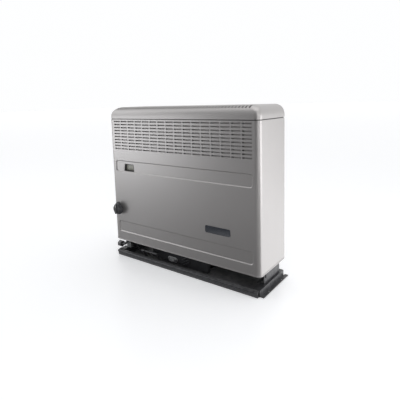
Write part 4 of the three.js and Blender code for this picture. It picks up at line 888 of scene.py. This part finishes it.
def pale_floor():
    """White to the camera; dark under the tray as painted shade; in gloss, dark ahead of it as a painted
    reflection and brighter at the right as a painted highlight.
    """
    material, tree, inputs = finish("pale_floor", Roughness=0.3, IOR=1.5)
    path = place(tree, "ShaderNodeLightPath").outputs
    seen = maths(tree, "MAXIMUM", path["Is Camera Ray"], path["Is Transmission Ray"])
    glossy = path["Is Glossy Ray"]
    spot = split(tree, own_place(tree))
    # the patch under the tray is painted shade: dark, and it never glows
    beside = maths(tree, "GREATER_THAN", maths(tree, "ABSOLUTE", spot["X"]), PAINTED_SHADE_X)
    before = maths(tree, "GREATER_THAN", maths(tree, "ABSOLUTE", spot["Y"]), PAINTED_SHADE_Y)
    # in gloss the floor ahead of the tray fades to dark: a painted dark reflection on the casing's front
    ahead = maths(tree, "MULTIPLY", ranged(tree, spot["Y"], AHEAD_DARK, AHEAD_LIT, 1.0, 0.0), glossy)
    bare = maths(tree, "MAXIMUM", beside, before)
    not_painted_dark = maths(tree, "MULTIPLY", bare, maths(tree, "SUBTRACT", 1.0, ahead))
    pale = mixed(tree, noise(tree, 1.2), (0.86, 0.865, 0.87, 1), (0.88, 0.885, 0.89, 1))
    # dark where the mask is off: painted shade under the tray, and in gloss a painted dark reflection ahead
    put(tree, inputs["Base Color"], mixed(tree, not_painted_dark, grey(0.02), pale))
    # in gloss the floor at the right glows brighter: a painted highlight on the casing's side
    outwards = ranged(tree, spot["X"], RIGHT_NEAR, RIGHT_FAR, RIGHT_PAINTED_HIGHLIGHT, 0.0)
    right = maths(tree, "MULTIPLY", outwards, ranged(tree, spot["Y"], RIGHT_FRONT, RIGHT_REAR, 0.0, 1.0))
    mirrored = maths(tree, "MULTIPLY", glossy, maths(tree, "ADD", GLOSS_GLOW, right))
    glow = maths(tree, "ADD", maths(tree, "MULTIPLY", seen, CAMERA_GLOW), mirrored)
    put(tree, inputs["Emission Color"], grey(1))
    put(tree, inputs["Emission Strength"], maths(tree, "MULTIPLY", glow, not_painted_dark))
    return material


def floor():
    """A floor just under the tray, which keeps the heater's shadow; its material paints shade under the tray
    and reflections on the heater.
    """
    bpy.ops.object.select_all(action="DESELECT")
    bpy.ops.mesh.primitive_plane_add(size=60, location=(0, 0, -0.0005))
    piece = bpy.context.active_object
    piece.name = "floor"
    piece.data.materials.append(pale_floor())


def card(name, left, right, low, high, tone, glow=0.0):
    """A studio card between two upright edges, seen only in the gloss of the surfaces that face it: a painted
    reflection on them, which is painted shade where the card is dark and a painted highlight where it glows.
    """
    mesh = bpy.data.meshes.new(name)
    mesh.from_pydata([(*left, low), (*right, low), (*right, high), (*left, high)], [], [(0, 1, 2, 3)])
    piece = bpy.data.objects.new(name, mesh)
    bpy.context.scene.collection.objects.link(piece)
    material, _, _ = finish(name, Base_Color=grey(tone), Roughness=0.9,
                            Emission_Color=(0.96, 0.98, 1, 1), Emission_Strength=glow)
    mesh.materials.append(material)
    for ray in ("camera", "diffuse", "transmission", "shadow"):
        setattr(piece, "visible_" + ray, False)


def lamp(name, location, target, size, power, colour=(1, 1, 1)):
    """A round soft lamp that looks at its target."""
    data = bpy.data.lights.new(name, "AREA")
    data.shape = "DISK"
    data.size = size
    data.energy = power
    data.color = colour
    piece = bpy.data.objects.new(name, data)
    bpy.context.scene.collection.objects.link(piece)
    piece.location = location
    piece.rotation_euler = (Vector(target) - Vector(location)).to_track_quat("-Z", "Y").to_euler()
    piece.visible_camera = False


def sky():
    """White for the camera, for gloss and through glass; a plainer fill for everything else."""
    world = bpy.data.worlds.new("studio")
    bpy.context.scene.world = world
    world.use_nodes = True
    tree = world.node_tree
    tree.nodes.clear()
    path = place(tree, "ShaderNodeLightPath").outputs
    mirrored = maths(tree, "MAXIMUM", path["Is Glossy Ray"], path["Is Transmission Ray"])
    seen = maths(tree, "MAXIMUM", path["Is Camera Ray"], mirrored)
    fill = place(tree, "ShaderNodeBackground", Color=(0.96, 0.97, 1.0, 1), Strength=0.6)
    white = place(tree, "ShaderNodeBackground", Color=(0.99, 0.995, 1.0, 1), Strength=1.0)
    either = place(tree, "ShaderNodeMixShader", Fac=seen)
    put(tree, either.inputs[1], fill.outputs[0])
    put(tree, either.inputs[2], white.outputs[0])
    place(tree, "ShaderNodeOutputWorld", Surface=either.outputs[0])


def camera():
    """The photograph's view, with a lens shift for where its axis meets the frame."""
    data = bpy.data.cameras.new("camera")
    data.sensor_width = SENSOR
    data.lens = SENSOR * FOCAL_LENGTH / FRAME_SIZE
    data.shift_y = (CENTRE_ROW - FRAME_SIZE / 2) / FRAME_SIZE
    data.clip_start = 0.01
    data.clip_end = 50
    ahead = Vector((-math.sin(YAW) * math.cos(PITCH), math.cos(YAW) * math.cos(PITCH), -math.sin(PITCH)))
    right = Vector((math.cos(YAW), math.sin(YAW), 0))
    up = right.cross(ahead)
    rolled_right = right * math.cos(ROLL) + up * math.sin(ROLL)
    rolled_up = up * math.cos(ROLL) - right * math.sin(ROLL)
    piece = bpy.data.objects.new("camera", data)
    bpy.context.scene.collection.objects.link(piece)
    piece.location = CAMERA_PLACE
    piece.rotation_euler = Matrix((rolled_right, rolled_up, -ahead)).transposed().to_euler()
    bpy.context.scene.camera = piece


floor()
sky()
lamp("left key", (-1.7, -1.1, 1.5), (-0.2, -0.06, 0.35), size=1.4, power=4, colour=(0.96, 0.98, 1))
lamp("right front", (0.95, -0.95, 0.5), (0.2, -0.06, 0.02), size=1.5, power=5)
lamp("right low", (1.0, 0.35, 0.12), (0.24, 0.0, 0.06), size=0.9, power=4)
lamp("top", (0.1, 0.2, 2.0), (0, 0, 0.3), size=1.6, power=4.5)
# painted shade: a dark card seen only in the gloss of the casing's front
card("front painted shade card", (-0.42, -0.8), (0.9, -0.8), 0.14, 0.75, tone=0.02)
# painted highlight: a glowing card, no lamp, seen only in the gloss of the casing's front at the left
card("left painted highlight card", (-1.6, -0.7), (-1.0, -1.3), 0.02, 0.42, tone=0.5, glow=2.6)
# painted reflection: a grey card seen only in the gloss of the cap and the casing's top
card("upper painted reflection card", (-0.9, -0.8), (0.9, -0.8), 0.75, 1.9, tone=0.3)
camera()
bpy.context.scene.view_settings.view_transform = "Standard"
